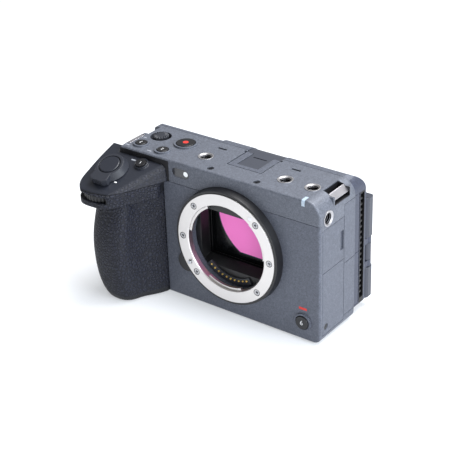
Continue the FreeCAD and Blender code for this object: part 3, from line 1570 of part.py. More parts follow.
def make_contact_block():
    """Curved black block at the bottom of the throat that holds the contacts."""
    y = (behind(contact_face), behind(wall + 0.1))
    band = tube(0, y[0], lens_height, contact_inner, contact_outer, y[1] - y[0], (0, 1, 0))
    points = [(0, lens_height)]
    for step in (-1, -0.5, 0, 0.5, 1):
        points.append(place_on_lens(ring_radius * 1.1, contact_angle + step * contact_half_angle))
    contact = band.common(prism_y(points, y))
    for pin in contact_pin_list():
        contact = contact.cut(pin)
    return contact


def contact_pin_list():
    """Ten gold contact pins along the curve of the block."""
    start = contact_face - contact_proud
    pins = []
    for i in range(contact_count):
        angle = contact_angle + (i - (contact_count - 1) / 2) * contact_pitch
        x, z = place_on_lens(contact_circle, angle)
        pins.append(rod(x, behind(start), z, contact_radius, wall + 0.05 - start, (0, 1, 0)))
    return pins


curtain_thickness = 0.3
curtain_gap = 0.35
front_curtain_y = shutter_front + 0.4 + curtain_gap
rear_curtain_y = front_curtain_y + curtain_thickness + curtain_gap


def make_shutter_frame():
    """Shutter housing with the space in which the two curtains run."""
    y = (behind(shutter_front), behind(shutter_front + shutter_thickness))
    frame = lens_block(gate_width / 2 + shutter_side, gate_height / 2 + shutter_margin, y)
    frame = frame.cut(lens_block(gate_width / 2, gate_height / 2, (y[0] - 1, y[1] + 1)))
    room = (behind(shutter_front + 0.4), behind(rear_curtain_y + curtain_thickness + curtain_gap))
    return frame.cut(lens_block(gate_width / 2 + 2.2, gate_height / 2 + shutter_margin - 1.2, room))


def make_curtains():
    """The two packs of curtain blades, stowed below and above the gate."""
    low = lens_height - gate_height / 2 - 1.2 - blade_height
    half = gate_width / 2 + 1.8
    y = (behind(front_curtain_y), behind(front_curtain_y + curtain_thickness))
    put("front_curtain", block((-half, half), y, (low, low + blade_height)))
    low = lens_height + gate_height / 2 + 1.2
    y = (behind(rear_curtain_y), behind(rear_curtain_y + curtain_thickness))
    put("rear_curtain", block((-half, half), y, (low, low + blade_height)))


glass_front = 10.0
package_thickness = 2.9
stage_front = glass_front + glass_thickness + 0.3
stage_deep = 2.8
package_half_x = 17.0
package_half_z = 12.2


def make_image_sensor():
    """Sensor package behind its cover glass."""
    glass_back = glass_front + glass_thickness
    glass = lens_block(glass_width / 2, glass_height / 2, (behind(glass_front), behind(glass_back)))
    package = lens_block(package_half_x, package_half_z,
                         (behind(glass_back), behind(glass_back + package_thickness)))
    return join([glass, package])


def make_sensor_stage():
    """Frame that carries the sensor and shifts sideways."""
    y = (behind(stage_front), behind(stage_front + stage_deep))
    frame = lens_block(package_half_x + 0.3 + stage_rim, package_half_z + shift_travel + 0.3 + stage_rim, y)
    return frame.cut(lens_block(package_half_x + 0.3, package_half_z + shift_travel + 0.3,
                                (y[0] - 1, y[1] + 1)))


# Cooling and electronics
sink_front = 15.0
sink_plate = 1.6
bridge_x = 38.6
rear_plate_front = 31.3
rear_plate = 1.0
fin_left = 23.6
fin_right = 46.6
fin_pitch = 4.2
fin_back = 39.4
sink_left = -30.0
sink_low = 12.0
sink_high = body_height - 11.1
fins_high = body_height - 13.1
rear_plate_left = -14.5
leg_width = 4.0
leg_right = 36.0
fin_thickness = 1.0
fin_count = int((fins_high - fin_thickness - sink_low) / fin_pitch) + 1
fan_front = 33.2
fan_thickness = 5.6
blade_width = 5.6
blade_thick = 0.8
blade_tilt = 38.0


def make_heat_sink():
    """Sheet behind the sensor, the bridge beside the board and the fins in the hump."""
    sheet_y = (behind(sink_front), behind(sink_front + sink_plate))
    rear_y = (behind(rear_plate_front), behind(rear_plate_front + rear_plate))
    plate = block((sink_left, bridge_x + sink_plate), sheet_y, (sink_low, sink_high))
    bridge = block((bridge_x, bridge_x + sink_plate), (sheet_y[0], rear_y[1]), (sink_low, fins_high))
    rear = block((rear_plate_left, fin_right), rear_y, (sink_low, fins_high))
    legs = [block((x, x + leg_width), sheet_y, (wall, sink_low + 1.0)) for x in (sink_left, leg_right)]
    middle = behind(rear_plate_front + rear_plate / 2)
    pin = rod(fan_x, middle, fan_height, fan_pin_radius, fan_front + fan_thickness - rear_plate_front,
              (0, 1, 0))
    fins = []
    for i in range(fin_count):
        z = sink_low + i * fin_pitch
        fins.append(block((fin_left, fin_right), (middle, behind(fin_back)), (z, z + fin_thickness)))
    return join([plate, bridge, rear] + legs + [pin] + fins)


def make_fan_rotor():
    """Fan with nine tilted blades."""
    y = (behind(fan_front), behind(fan_front + fan_thickness))
    rotor = rod(fan_x, y[0], fan_height, fan_hub_radius, fan_thickness, (0, 1, 0))
    for i in range(fan_blades):
        blade = Part.makeBox(fan_radius - fan_hub_radius + 0.6, blade_width, blade_thick,
                             V(fan_hub_radius - 0.8, -blade_width / 2, -blade_thick / 2))
        blade.rotate(V(0, 0, 0), V(1, 0, 0), blade_tilt)
        blade.rotate(V(0, 0, 0), V(0, 1, 0), i * 360 / fan_blades)
        blade.translate(V(fan_x, (y[0] + y[1]) / 2, fan_height))
        rotor = rotor.fuse(blade)
    rotor = rotor.removeSplitter()
    return rotor.cut(rod(fan_x, y[0] - 1, fan_height, fan_pin_radius + running_fit, fan_thickness + 2,
                         (0, 1, 0)))


# Boards: where they stand and the chips on them
main_board_front = 18.5
main_board_thickness = 1.6
main_board_left = -36.0
main_board_low = 8.0
post_radius = 1.5
thin_post_radius = 1.0
chips = [
    # x, height, width, tall
    (-14.0, 36.0, 16.0, 16.0),
    (12.0, 42.0, 14.0, 11.0),
    (12.0, 24.0, 12.0, 12.0),
]
upper_board_x = (-66.5, -35.0)
upper_board_depth = (2.4, 30.0)
upper_posts = [(-53.5, 4.0), (-37.0, 4.0), (-36.6, 28.2)]
key_board_x = (-65.5, -31.0)
key_board_low = 7.0
key_posts = [(-34.0, 20.0), (-34.0, 50.0), (-52.0, body_height - 14.1), (-52.0, 9.0)]
front_board_half = 4.5


def make_main_board():
    """Main board with its chips, screwed to the heat sink's sheet."""
    back = main_board_front + main_board_thickness
    parts = [block((main_board_left, bridge_x - 1.0), (behind(main_board_front), behind(back)),
                   (main_board_low, sink_high))]
    start = sink_front + sink_plate
    for x in (-28.0, 34.0):
        for z in (16.0, body_height - 17.1):
            parts.append(rod(x, behind(start), z, post_radius, main_board_front + 0.1 - start, (0, 1, 0)))
    for x, z, wide, tall in chips:
        parts.append(block((x - wide / 2, x + wide / 2), (behind(back - 0.1), behind(back + 1.4)),
                           (z - tall / 2, z + tall / 2)))
    return join(parts)


def make_upper_board():
    """Board under the top cover that carries the switches of the top keys."""
    plate = block(upper_board_x, [behind(depth) for depth in upper_board_depth],
                  (board_top - board_thickness, board_top))
    posts = [rod(x, behind(depth), board_top - 0.1, thin_post_radius, top_inside - board_top + 0.1, (0, 0, 1))
             for x, depth in upper_posts]
    return join([plate] + posts)


def make_key_board():
    """Board behind the rear keys, cut out round the left thread's insert."""
    plate = block(key_board_x, (behind(board_back), behind(board_back + key_board_thickness)),
                  (key_board_low, body_height - 12.1))
    posts = [rod(x, behind(board_back + 0.1), z, thin_post_radius, left_depth - wall - board_back - 0.1,
                 (0, 1, 0)) for x, z in key_posts]
    half = insert_radius + 1.6
    notch = block((-far, menu_place[0] - dome_radius - 1.6), (-far, far),
                  (grip_insert_height - half, grip_insert_height + half))
    return join([plate] + posts).cut(notch)


def make_front_board():
    """Small board behind the front record button."""
    x, z = front_button
    half = front_board_half
    plate = block((x - half, x + half), (behind(front_board), behind(front_board + 0.8)), (z - half, z + half))
    posts = [rod(x + side * (half - 0.2), behind(wall), z - half + 0.3, 0.9, front_board - wall + 0.1,
                 (0, 1, 0)) for side in (-1, 1)]
    return join([plate] + posts)


def make_switch_domes():
    """Snap domes under every button."""
    domes = []
    for place in (left_button, right_button, record_button, stick):
        domes.append(rod(place[0], behind(place[1]), board_top, dome_radius, dome_height, (0, 0, 1)))
    for place in (menu_place, playback_place, wheel_place):
        y = behind(board_back + key_board_thickness)
        domes.append(rod(place[0], y, place[1], dome_radius, rear_dome - y, (0, 1, 0)))
    domes.append(rod(front_button[0], front_dome, front_button[1], dome_radius, 0.55, (0, 1, 0)))
    return group(domes + [shutter_switch(), deck_switch()])


# Doors of the grip
def make_card_door():
    """Card door in the left side, hinged at its rear edge."""
    plate = block((body_left, body_left + door_thickness), (behind(card_door_front), card_hinge[1]),
                  (card_door_low, card_door_high))
    plate = plate.fuse(rod(card_hinge[0], card_hinge[1], card_door_low, hinge_out,
                           card_door_high - card_door_low, (0, 0, 1))).removeSplitter()
    return plate.cut(rod(card_hinge[0], card_hinge[1], card_door_low - 1, door_pin_radius + running_fit,
                         card_door_high - card_door_low + 2, (0, 0, 1)))


def make_battery_door():
    """Battery door under the grip with the pocket of its latch."""
    door = battery_door_form(0, battery_door_low, battery_door_high)
    door = door.cut(block((battery_hinge[0], far), (-far, far), (-far, far)))
    for y in ((door_y[0] - 1, door_y[0] + door_end), (door_y[1] - door_end, door_y[1] + 1)):
        door = door.cut(block((battery_hinge[0] - door_end_gap, far), y, (-far, far)))
    knuckle = rod(battery_hinge[0], door_y[0] + door_end, battery_hinge[1], battery_door_thickness / 2,
                  door_y[1] - door_y[0] - 2 * door_end, (0, 1, 0))
    door = join([door, knuckle])
    door = door.cut(rod(battery_hinge[0], door_y[0] - 2, battery_hinge[1], door_pin_radius + running_fit,
                        door_y[1] - door_y[0] + 4, (0, 1, 0)))
    return door.cut(block((latch_x - latch_width / 2 - 0.3, latch_x + latch_width / 2 + 0.3),
                          (latch_y - 0.3, latch_y + latch_long + latch_travel + 0.3),
                          (-1, battery_door_low + latch_thickness + 0.3)))


def make_battery_latch():
    """Slide that unlocks the battery door."""
    latch = block((latch_x - latch_width / 2, latch_x + latch_width / 2), (latch_y, latch_y + latch_long),
                  (battery_door_low, battery_door_low + latch_thickness))
    for i in range(3):
        y = latch_y + 1.2 + i * 1.2
        latch = latch.cut(block((latch_x - latch_width / 2 - 1, latch_x + latch_width / 2 + 1), (y, y + 0.4),
                                (battery_door_low - 1, battery_door_low + 0.25)))
    return latch


def make_battery():
    """Battery pack standing in the grip."""
    return battery_block(0, battery_floor, battery_floor + battery_height)


def make_control_wheel():
    """Ridged ring that turns round the centre button."""
    x, z = wheel_place
    start = left_back - wheel_seat + 0.05
    ring = rod(x, start, z, wheel_radius, wheel_seat + wheel_proud, (0, 1, 0))
    notches = []
    for i in range(30):
        turn = 2 * math.pi * i / 30
        notches.append(rod(x + wheel_radius * math.cos(turn), left_back + 0.4,
                           z + wheel_radius * math.sin(turn), 0.4, 5, (0, 1, 0)))
    ring = ring.cut(group(notches))
    return ring.cut(rod(x, start - 1, z, wheel_inner, 10, (0, 1, 0)))


def make_power_switch():
    """Sliding power switch on the control face."""
    x, z = switch_place
    knob = block((x - switch_knob / 2, x + switch_knob / 2), (left_back - wall - 0.5, left_back + 1.1),
                 (z - switch_tall / 2, z + switch_tall / 2))
    plate = block((x - switch_knob / 2 - 1.2, x + switch_knob / 2 + 1.2),
                  (left_back - wall - 0.3 - 0.6, left_back - wall - 0.3),
                  (z - switch_tall / 2 - 1.0, z + switch_tall / 2 + 1.0))
    return join([knob, plate])


def make_hinge_pins():
    """All the pins that doors, dial and monitor turn on."""
    x, y = monitor_axis
    return group([
        shifted_pin(front_hinge, door_floor_front - pin_end, front_upper[1] + pin_end),
        shifted_pin(rear_hinge, door_floor_rear - pin_end, door_top + pin_end),
        shifted_pin(card_hinge, card_door_low - pin_end, card_door_high + pin_end),
        battery_pin(),
        dial_pin(),
        rod(x, y, arm_floor + 0.4, hinge_pin_radius, arm_top - arm_floor - 0.8, (0, 0, 1)),
    ])


put("front_cover", make_front_cover())
put("top_cover", make_top_cover())
put("rear_cover", make_rear_cover())
put("base_plate", make_base_plate())
put("side_cover", make_side_cover())
grip_body = make_grip_shell()
put("grip_shell", grip_body)
put("grip_rubber", make_grip_rubber(grip_body))
put("grip_deck", make_grip_deck())
put("lamp_windows", make_lamp_windows())
make_port_doors()
put("port_jacks", make_port_jacks())
put("mount_ring", make_mount_ring())
put("mount_collar", make_mount_collar())
put("lens_release_button", make_lens_release_button())
put("lens_lock_pin", make_lens_lock_pin())
put("light_box", make_light_box())
put("contact_block", make_contact_block())
put("contact_pins", group(contact_pin_list()))
put("shutter_frame", make_shutter_frame())
make_curtains()
put("image_sensor", make_image_sensor())
put("sensor_stage", make_sensor_stage())
put("heat_sink", make_heat_sink())
put("fan_rotor", make_fan_rotor())
boards = [make_main_board(), make_upper_board(), make_key_board(), make_front_board()]
put("main_board", group(boards))
put("switch_domes", make_switch_domes())
put("screws", make_screws())
put("thread_inserts", make_thread_inserts())
put("accessory_shoe", make_accessory_shoe())
put("shoe_cover", make_shoe_cover())
put("strap_bars", group([left_bar, right_bar]))
put("shutter_button", make_shutter_button())
put("zoom_lever", make_zoom_lever())
put("deck_button", make_deck_button())
put("front_dial", make_front_dial())
put("rear_dial", make_rear_dial())
put("top_button_left", top_button(left_button, small_button_radius))
put("top_button_right", top_button(right_button, small_button_radius))
put("top_record_button", top_button(record_button, record_button_radius))
put("front_record_button", make_front_record_button())
put("joystick_base", make_joystick_base())
put("joystick_gimbal", make_joystick_gimbal())
put("joystick_cap", make_joystick_cap())
put("control_wheel", make_control_wheel())
put("wheel_button", rear_button(wheel_place, wheel_button_radius, 1.2))
put("menu_button", rear_button(menu_place, small_button_radius, 1.0))
put("playback_button", rear_button(playback_place, small_button_radius, 1.0))
put("power_switch", make_power_switch())
put("card_door", make_card_door())
put("battery_door", make_battery_door())
put("battery_latch", make_battery_latch())
put("battery", make_battery())
put("monitor_arm", make_monitor_arm())
put("monitor_case", make_monitor_case())
put("monitor_screen", make_monitor_screen())
put("hinge_pins", make_hinge_pins())
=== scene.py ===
"""Looks of a compact cinema camera, dressed over its CAD frame. Metres, +Z up, lens towards -Y."""
import math

import bmesh
import bpy
import numpy as np
from mathutils import Matrix, Vector


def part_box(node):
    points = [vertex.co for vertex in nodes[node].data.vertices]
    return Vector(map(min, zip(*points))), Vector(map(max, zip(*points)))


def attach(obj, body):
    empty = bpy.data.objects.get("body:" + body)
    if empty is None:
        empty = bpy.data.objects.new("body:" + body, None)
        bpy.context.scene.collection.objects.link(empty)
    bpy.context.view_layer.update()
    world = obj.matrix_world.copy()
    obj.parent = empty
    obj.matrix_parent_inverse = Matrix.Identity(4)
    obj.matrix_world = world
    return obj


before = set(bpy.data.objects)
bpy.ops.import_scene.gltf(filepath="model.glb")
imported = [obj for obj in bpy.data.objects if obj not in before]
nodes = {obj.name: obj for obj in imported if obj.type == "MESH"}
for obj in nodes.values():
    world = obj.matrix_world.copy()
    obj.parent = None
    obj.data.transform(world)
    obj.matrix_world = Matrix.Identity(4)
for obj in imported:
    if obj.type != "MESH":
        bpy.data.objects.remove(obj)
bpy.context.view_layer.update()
MM = 0.001

# Places on the body, in millimetres
FRONT = -14.0
TOP = 77.1
RIGHT = 52.5
LEFT = -69.4
STRIP_BACK = 17.2
LENS_HEIGHT = 39.9
RING_FACE = -18.9
SCREW_CIRCLE = 26.4
DECK_TILT = math.radians(22.0)
DECK_HEIGHT = 73.5
DECK_SLOPE = math.tan(DECK_TILT)
SOCKETS_ON_TOP = (-24.0, 24.0, 39.7)
SOCKET_IN_SIDE = (RIGHT, -6.8, 67.0)
SIDE_SCREW = (-8.6, 8.0)

# Boxes on the body where the paint changes: x, y and z limits in millimetres
RIGHT_POCKET = ((45.0, 52.2), (-0.8, 12.6), (70.5, 76.4))
LEFT_POCKET = ((LEFT, -66.0), (-9.4, 3.9), (74.0, 76.4))
# TOP_HOLES: painted shade inside the blind holes in the top
TOP_HOLES = ((-26.0, 26.0), (9.0, 12.0), (TOP - 6.0, TOP - 0.6))
# VENT_SLOTS: painted shade inside the vent slots
VENT_SLOTS = ((RIGHT - 6.0, RIGHT - 0.25), (22.6, 26.6), (5.0, 68.0))

# Grain of the finishes: sizes in millimetres, and the limits of a fleck's tone
FLECK = 0.5
FLECK_TONE = (0.36, 0.64)
SATIN = 0.2
LEATHER_CELL = 1.7
LEATHER_CREASE = 0.3


class Socket:
    """A value in a material's node tree that takes part in Python arithmetic."""

    def __init__(self, paint, socket):
        self.paint = paint
        self.socket = socket

    def math(self, operation, *others):
        """Math node of this value and others."""
        return self.paint.node("ShaderNodeMath", {"operation": operation}, [self, *others])

    def __add__(self, other):
        return self.math("ADD", other)

    __radd__ = __add__

    def __sub__(self, other):
        return self.math("SUBTRACT", other)

    def __rsub__(self, other):
        return self.paint.node("ShaderNodeMath", {"operation": "SUBTRACT"}, [other, self])

    def __mul__(self, other):
        return self.math("MULTIPLY", other)

    __rmul__ = __mul__

    def __gt__(self, other):
        return self.math("GREATER_THAN", other)

    def __lt__(self, other):
        return self.math("LESS_THAN", other)

    def power(self, exponent):
        """This value raised to an exponent."""
        return self.math("POWER", exponent)

    def smooth(self, low, high):
        """0 below low and 1 above high, with a smooth step between."""
        settings = {"interpolation_type": "SMOOTHSTEP", "clamp": True}
        inputs = {"Value": self, "From Min": low, "From Max": high}
        return self.paint.node("ShaderNodeMapRange", settings, inputs)


class Paint:
    """A material under construction: one Principled shader and the nodes that feed it."""

    def __init__(self, name, **values):
        self.material = bpy.data.materials.new(name)
        self.material.use_nodes = True
        self.tree = self.material.node_tree
        self.shader = self.tree.nodes["Principled BSDF"]
        for socket, value in values.items():
            self.set(socket.replace("_", " "), value)

    def set(self, socket, value):
        """Give the shader's socket a value or a link."""
        target = self.shader.inputs[socket]
        if isinstance(value, Socket):
            self.tree.links.new(value.socket, target)
        else:
            target.default_value = value
        return self

    def node(self, kind, settings, inputs, output=0):
        """Add any node: its settings first, then values or links for its sockets."""
        made = self.tree.nodes.new(kind)
        for key, value in settings.items():
            setattr(made, key, value)
        pairs = enumerate(inputs) if isinstance(inputs, list) else inputs.items()
        for key, value in pairs:
            if isinstance(value, Socket):
                self.tree.links.new(value.socket, made.inputs[key])
            else:
                made.inputs[key].default_value = value
        return Socket(self, made.outputs[output])

    def place(self):
        """Object coordinates, in metres."""
        return self.node("ShaderNodeTexCoord", {}, {}, "Object")

    def axes(self):
        """The three object coordinates as separate values, in millimetres."""
        inputs = {"Vector": self.place(), "Scale": 1.0 / MM}
        in_mm = self.node("ShaderNodeVectorMath", {"operation": "SCALE"}, inputs)
        return [self.node("ShaderNodeSeparateXYZ", {}, {"Vector": in_mm}, i) for i in range(3)]

    def noise(self, size, detail=2.0, rough=0.5):
        """Noise whose lumps are about this size in millimetres."""
        inputs = {"Vector": self.place(), "Scale": 1.0 / MM / size, "Detail": detail, "Roughness": rough}
        return self.node("ShaderNodeTexNoise", {}, inputs)

    def leather(self):
        """Leather cells: 1 on a cell and 0 in the crease round it."""
        inputs = {"Vector": self.place(), "Scale": 1.0 / MM / LEATHER_CELL, "Randomness": 1.0}
        edge = self.node("ShaderNodeTexVoronoi", {"feature": "DISTANCE_TO_EDGE"}, inputs)
        return edge.smooth(0.0, LEATHER_CREASE)

    def mix(self, factor, first, second):
        """Colour between two colours."""
        return self.node("ShaderNodeMix", {"data_type": "RGBA"}, {0: factor, 6: first, 7: second}, 2)

    def cover(self, mask, over):
        """Lay another colour over the base colour where a mask is 1."""
        under = Socket(self, self.shader.inputs["Base Color"].links[0].from_socket)
        return self.set("Base Color", self.mix(mask, under, over))

    def bump(self, height, distance, strength=1.0, normal=None):
        """Bump of a height field in millimetres, onto the shader's normal."""
        inputs = {"Height": height, "Distance": distance * MM, "Strength": strength}
        if normal is not None:
            inputs["Normal"] = normal
        return self.set("Normal", self.node("ShaderNodeBump", {}, inputs))

    def soft_edges(self, radius):
        """Normal that rounds sharp edges by a radius in millimetres."""
        return self.node("ShaderNodeBevel", {"samples": 6}, {"Radius": radius * MM})


def colour(red, green, blue):
    """Linear colour from an sRGB one in 0..255."""
    def linear(c):
        c = c / 255.0
        return c / 12.92 if c <= 0.04045 else ((c + 0.055) / 1.055) ** 2.4
    return (linear(red), linear(green), linear(blue), 1.0)


def scaled(rgba, amount):
    """The colour made lighter or darker."""
    return tuple(min(c * amount, 1.0) for c in rgba[:3]) + (1.0,)


def speckled_paint(name, base):
    """Wrinkle paint over metal: light and dark flecks of two sizes in colour, gloss and height."""
    paint = Paint(name, Metallic=0.25)
    fine = paint.noise(FLECK, 3.0, 0.6)
    coarse = paint.noise(1.3, 3.0, 0.7)
    broad = paint.noise(14.0)
    shade = paint.mix(fine.smooth(*FLECK_TONE), scaled(base, 0.72), scaled(base, 1.28))
    shade = paint.mix(coarse.smooth(0.5, 0.72) * 0.6, shade, scaled(base, 1.55))
    shade = paint.mix(coarse.smooth(0.5, 0.3) * 0.5, shade, scaled(base, 0.6))
    shade = paint.mix(broad * 0.25, shade, scaled(base, 0.9))
    paint.set("Base Color", shade)
    paint.set("Roughness", fine * 0.2 + 0.4)
    return paint.bump(fine + coarse, 0.05, 0.6, paint.soft_edges(0.35))


def grained_rubber(name, base):
    """Leather-grained rubber: cells with creases between them."""
    paint = Paint(name, Specular_IOR_Level=0.38)
    grain = paint.leather()
    fine = paint.noise(FLECK)
    broad = paint.noise(9.0)
    shade = paint.mix(grain, scaled(base, 0.4), scaled(base, 1.3))
    paint.set("Base Color", paint.mix(broad * 0.3, shade, scaled(base, 1.3)))
    paint.set("Roughness", 0.62 - grain * 0.1 + fine * 0.1)
    return paint.bump(grain + fine * 0.3, 0.28, 1.0, paint.soft_edges(0.8))


def moulded_plastic(name, base, roughness=0.42, edge=0.25):
    """Moulded plastic with a fine satin texture and edges rounded by a radius in millimetres."""
    paint = Paint(name)
    fine = paint.noise(SATIN)
    broad = paint.noise(6.0)
    paint.set("Base Color", paint.mix(fine * 0.5 + broad * 0.3, scaled(base, 0.85), scaled(base, 1.2)))
    paint.set("Roughness", fine * 0.14 + (roughness - 0.07))
    return paint.bump(fine, 0.012, 0.5, paint.soft_edges(edge))


def off_axis(first, second):
    """Distance from an axis: the root of the sum of the squares of two offsets across it."""
    return (first * first + second * second).power(0.5)


def turned_metal(name, base, roughness=0.28, round_lens=False):
    """Turned metal: fine rings round the lens axis, or else fine brushing."""
    paint = Paint(name, Metallic=1.0)
    if round_lens:
        x, _, z = paint.axes()
        rings_per_mm = 9.0
        inputs = {"W": off_axis(x, z - LENS_HEIGHT) * rings_per_mm, "Scale": 1.0, "Detail": 3.0}
        rings = paint.node("ShaderNodeTexNoise", {"noise_dimensions": "1D"}, inputs)
    else:
        rings = paint.noise(0.15)
    wear = paint.noise(5.0, 3.0)
    paint.set("Base Color", paint.mix(rings, scaled(base, 0.88), scaled(base, 1.06)))
    paint.set("Roughness", rings * 0.14 + wear * 0.1 + (roughness - 0.1))
    return paint.bump(rings, 0.006, 0.6, paint.soft_edges(0.15))


def screen_glass(name, base):
    """Dark coated glass with a faint haze."""
    paint = Paint(name, Coat_Weight=0.8)
    haze = paint.noise(12.0, 3.0)
    paint.set("Base Color", paint.mix(haze * 0.4, base, scaled(base, 1.25)))
    paint.set("Roughness", haze * 0.05 + 0.05)
    return paint


def inside(axes, box):
    """1 inside a box of x, y and z limits in millimetres, else 0."""
    x, y, z = [(value > low) * (value < high) for value, (low, high) in zip(axes, box)]
    return x * y * z


def top_paint(name, base, dark):
    """Wrinkle paint with black strap pockets, a black band over the grip's deck, and black painted shade
    inside the blind holes.
    """
    paint = speckled_paint(name, base)
    x, y, z = axes = paint.axes()
    deck_end, deck_edge, deck_top = -37.6, FRONT + 0.3, TOP - 0.9
    band = (x < deck_end) * (y < deck_edge) * (z < deck_top)
    # The TOP_HOLES term paints shade inside the blind holes
    mask = inside(axes, RIGHT_POCKET) + inside(axes, LEFT_POCKET) + band + inside(axes, TOP_HOLES)
    return paint.cover(mask.smooth(0.1, 0.6), dark)


def side_paint(name, base, strip_shade, dark):
    """Wrinkle paint with painted shade: a deeper tone behind the doors' edge line and black inside the vent
    slots.
    """
    paint = speckled_paint(name, base)
    x, y, _ = axes = paint.axes()
    behind_line = (x > RIGHT - 4.0) * (y - STRIP_BACK).smooth(0.0, 0.3)
    flecks = paint.noise(FLECK).smooth(*FLECK_TONE)
    # Painted shade: darker slate behind the doors' edge line
    paint.cover(behind_line, paint.mix(flecks, scaled(strip_shade, 0.8), scaled(strip_shade, 1.25)))
    # Painted shade inside the vent slots
    return paint.cover(inside(axes, VENT_SLOTS), dark)


def socket_metal(name, base, bore):
    """Turned metal with painted shade inside its bore: dark just below the mouth."""
    paint = turned_metal(name, base, 0.42)
    x, _, z = paint.axes()
    lip, fade, floor_lip = 0.1, 0.3, 0.3
    left_end, right_start = -45.0, 45.4
    # Each mask of painted shade fades in below one side's mouths and ends where the other sides' inserts
    # begin
    upper = (TOP - lip - z).smooth(0.0, fade) * (z > 60.0) * (x > left_end) * (x < right_start)
    right = (RIGHT - lip - x).smooth(0.0, fade) * (x > right_start)
    left = (x - (LEFT + lip)).smooth(0.0, fade) * (x < -60.0)
    lower = (z - floor_lip).smooth(0.0, fade) * (z < 10.0)
    return paint.cover(upper + right + left + lower, bore)


def board_plastic(name, green, dark):
    """Solder mask, green on the main board and black on the board under the keys."""
    paint = moulded_plastic(name, green, 0.4)
    x, _, z = paint.axes()
    under_keys = (z > 60.0) * (x < -34.0)
    return paint.cover(under_keys, dark)


def screw_metal(name, bright, dark):
    """Bright heads on the bayonet ring, dark ones on the casing."""
    paint = turned_metal(name, bright, 0.4)
    _, y, _ = paint.axes()
    behind_ring = RING_FACE + 3.0
    return paint.cover(y > behind_ring, dark)


def shell_paint(name, base, dark):
    """Wrinkle paint on the body's left side, black plastic on the grip's core in front of it."""
    paint = speckled_paint(name, base)
    _, y, _ = paint.axes()
    return paint.cover(y < FRONT + 0.5, dark)


def deck_finish(name, base, leather):
    """Satin plastic on the tilted deck and leather grain on the shoulder below it."""
    paint = Paint(name)
    _, y, z = paint.axes()
    shoulder = DECK_HEIGHT - 0.45
    below = ((y - FRONT) * DECK_SLOPE + shoulder - z).smooth(0.0, 0.3)
    grain = paint.leather()
    fine = paint.noise(SATIN)
    skin = paint.mix(grain, scaled(leather, 0.6), scaled(leather, 1.2))
    plain = paint.mix(fine, scaled(base, 0.9), scaled(base, 1.12))
    paint.set("Base Color", paint.mix(below, plain, skin))
    paint.set("Roughness", below * 0.18 + fine * 0.1 + 0.33)
    return paint.bump(grain * below + fine * 0.12, 0.1, 0.8, paint.soft_edges(0.9))


def sensor_finish(name, pink, dark, rim):
    """Pink sensor glass with a painted reflection: dark outside a circle, the throat's mirror image, with a
    cyan lower rim.
    """
    paint = Paint(name, Specular_IOR_Level=0.15)
    x, _, z = paint.axes()
    mirror_x, mirror_z = 11.5, 53.2
    reach = off_axis(x - mirror_x, z - mirror_z)

    def circle(radius, sill):
        """1 inside the circle and above the sill, with soft edges."""
        return (radius - reach).smooth(-0.3, 0.3) * (z - sill).smooth(-0.15, 0.15)

    haze = paint.noise(14.0, 3.0)
    glow = paint.mix(haze * 0.3, pink, scaled(pink, 1.08))
    # Painted reflection of the throat: dark outside the circle, cyan at its lower rim
    throat_reflection = paint.mix(circle(26.6, 30.3), dark, rim)
    paint.set("Base Color", paint.mix(circle(26.0, 30.85), throat_reflection, glow))
    paint.set("Roughness", haze * 0.06 + 0.12)
    return paint


def window_finish(name, base, lamp, pale):
    """Dark glass with a lamp at one end; the tally lamp on the right is pale."""
    paint = Paint(name, Coat_Weight=0.6)
    x, _, z = paint.axes()
    lamp_x, lamp_z, lamp_radius = -26.9, 71.6, 1.35
    spot = (lamp_radius - off_axis(x - lamp_x, z - lamp_z)).smooth(-0.15, 0.15)
    haze = paint.noise(8.0, 3.0)
    shade = paint.mix(x > 0.0, paint.mix(haze * 0.4, base, scaled(base, 1.3)), pale)
    paint.set("Base Color", paint.mix(spot, shade, lamp))
    paint.set("Roughness", haze * 0.05 + 0.1)
    return paint


def knurled_finish(name, base, pitch):
    """Black plastic with square pyramids of a pitch in millimetres, seen from above: |sin| times |sin|, with
    painted shade in the valleys and a painted highlight on the tips.
    """
    paint = Paint(name)
    x, y, _ = paint.axes()
    per_mm = 2.0 * math.pi / pitch
    waves = [(diagonal * per_mm).math("SINE").math("ABSOLUTE") for diagonal in (x + y, x - y)]
    height = waves[0] * waves[1]
    # Painted shade and highlight: darker in the valleys, lighter on the tips
    paint.set("Base Color", paint.mix(height, scaled(base, 0.4), scaled(base, 1.6)))
    paint.set("Roughness", 0.5 - height * 0.1)
    return paint.bump(height, 0.35, 0.9)


# Colours, as sRGB
SLATE = colour(82, 86, 97)
SLATE_TOP = colour(89, 93, 103)
CHARCOAL = colour(19, 22, 35)
INK = colour(17, 17, 21)
DECK = colour(30, 33, 42)
BLACK = colour(12, 12, 14)

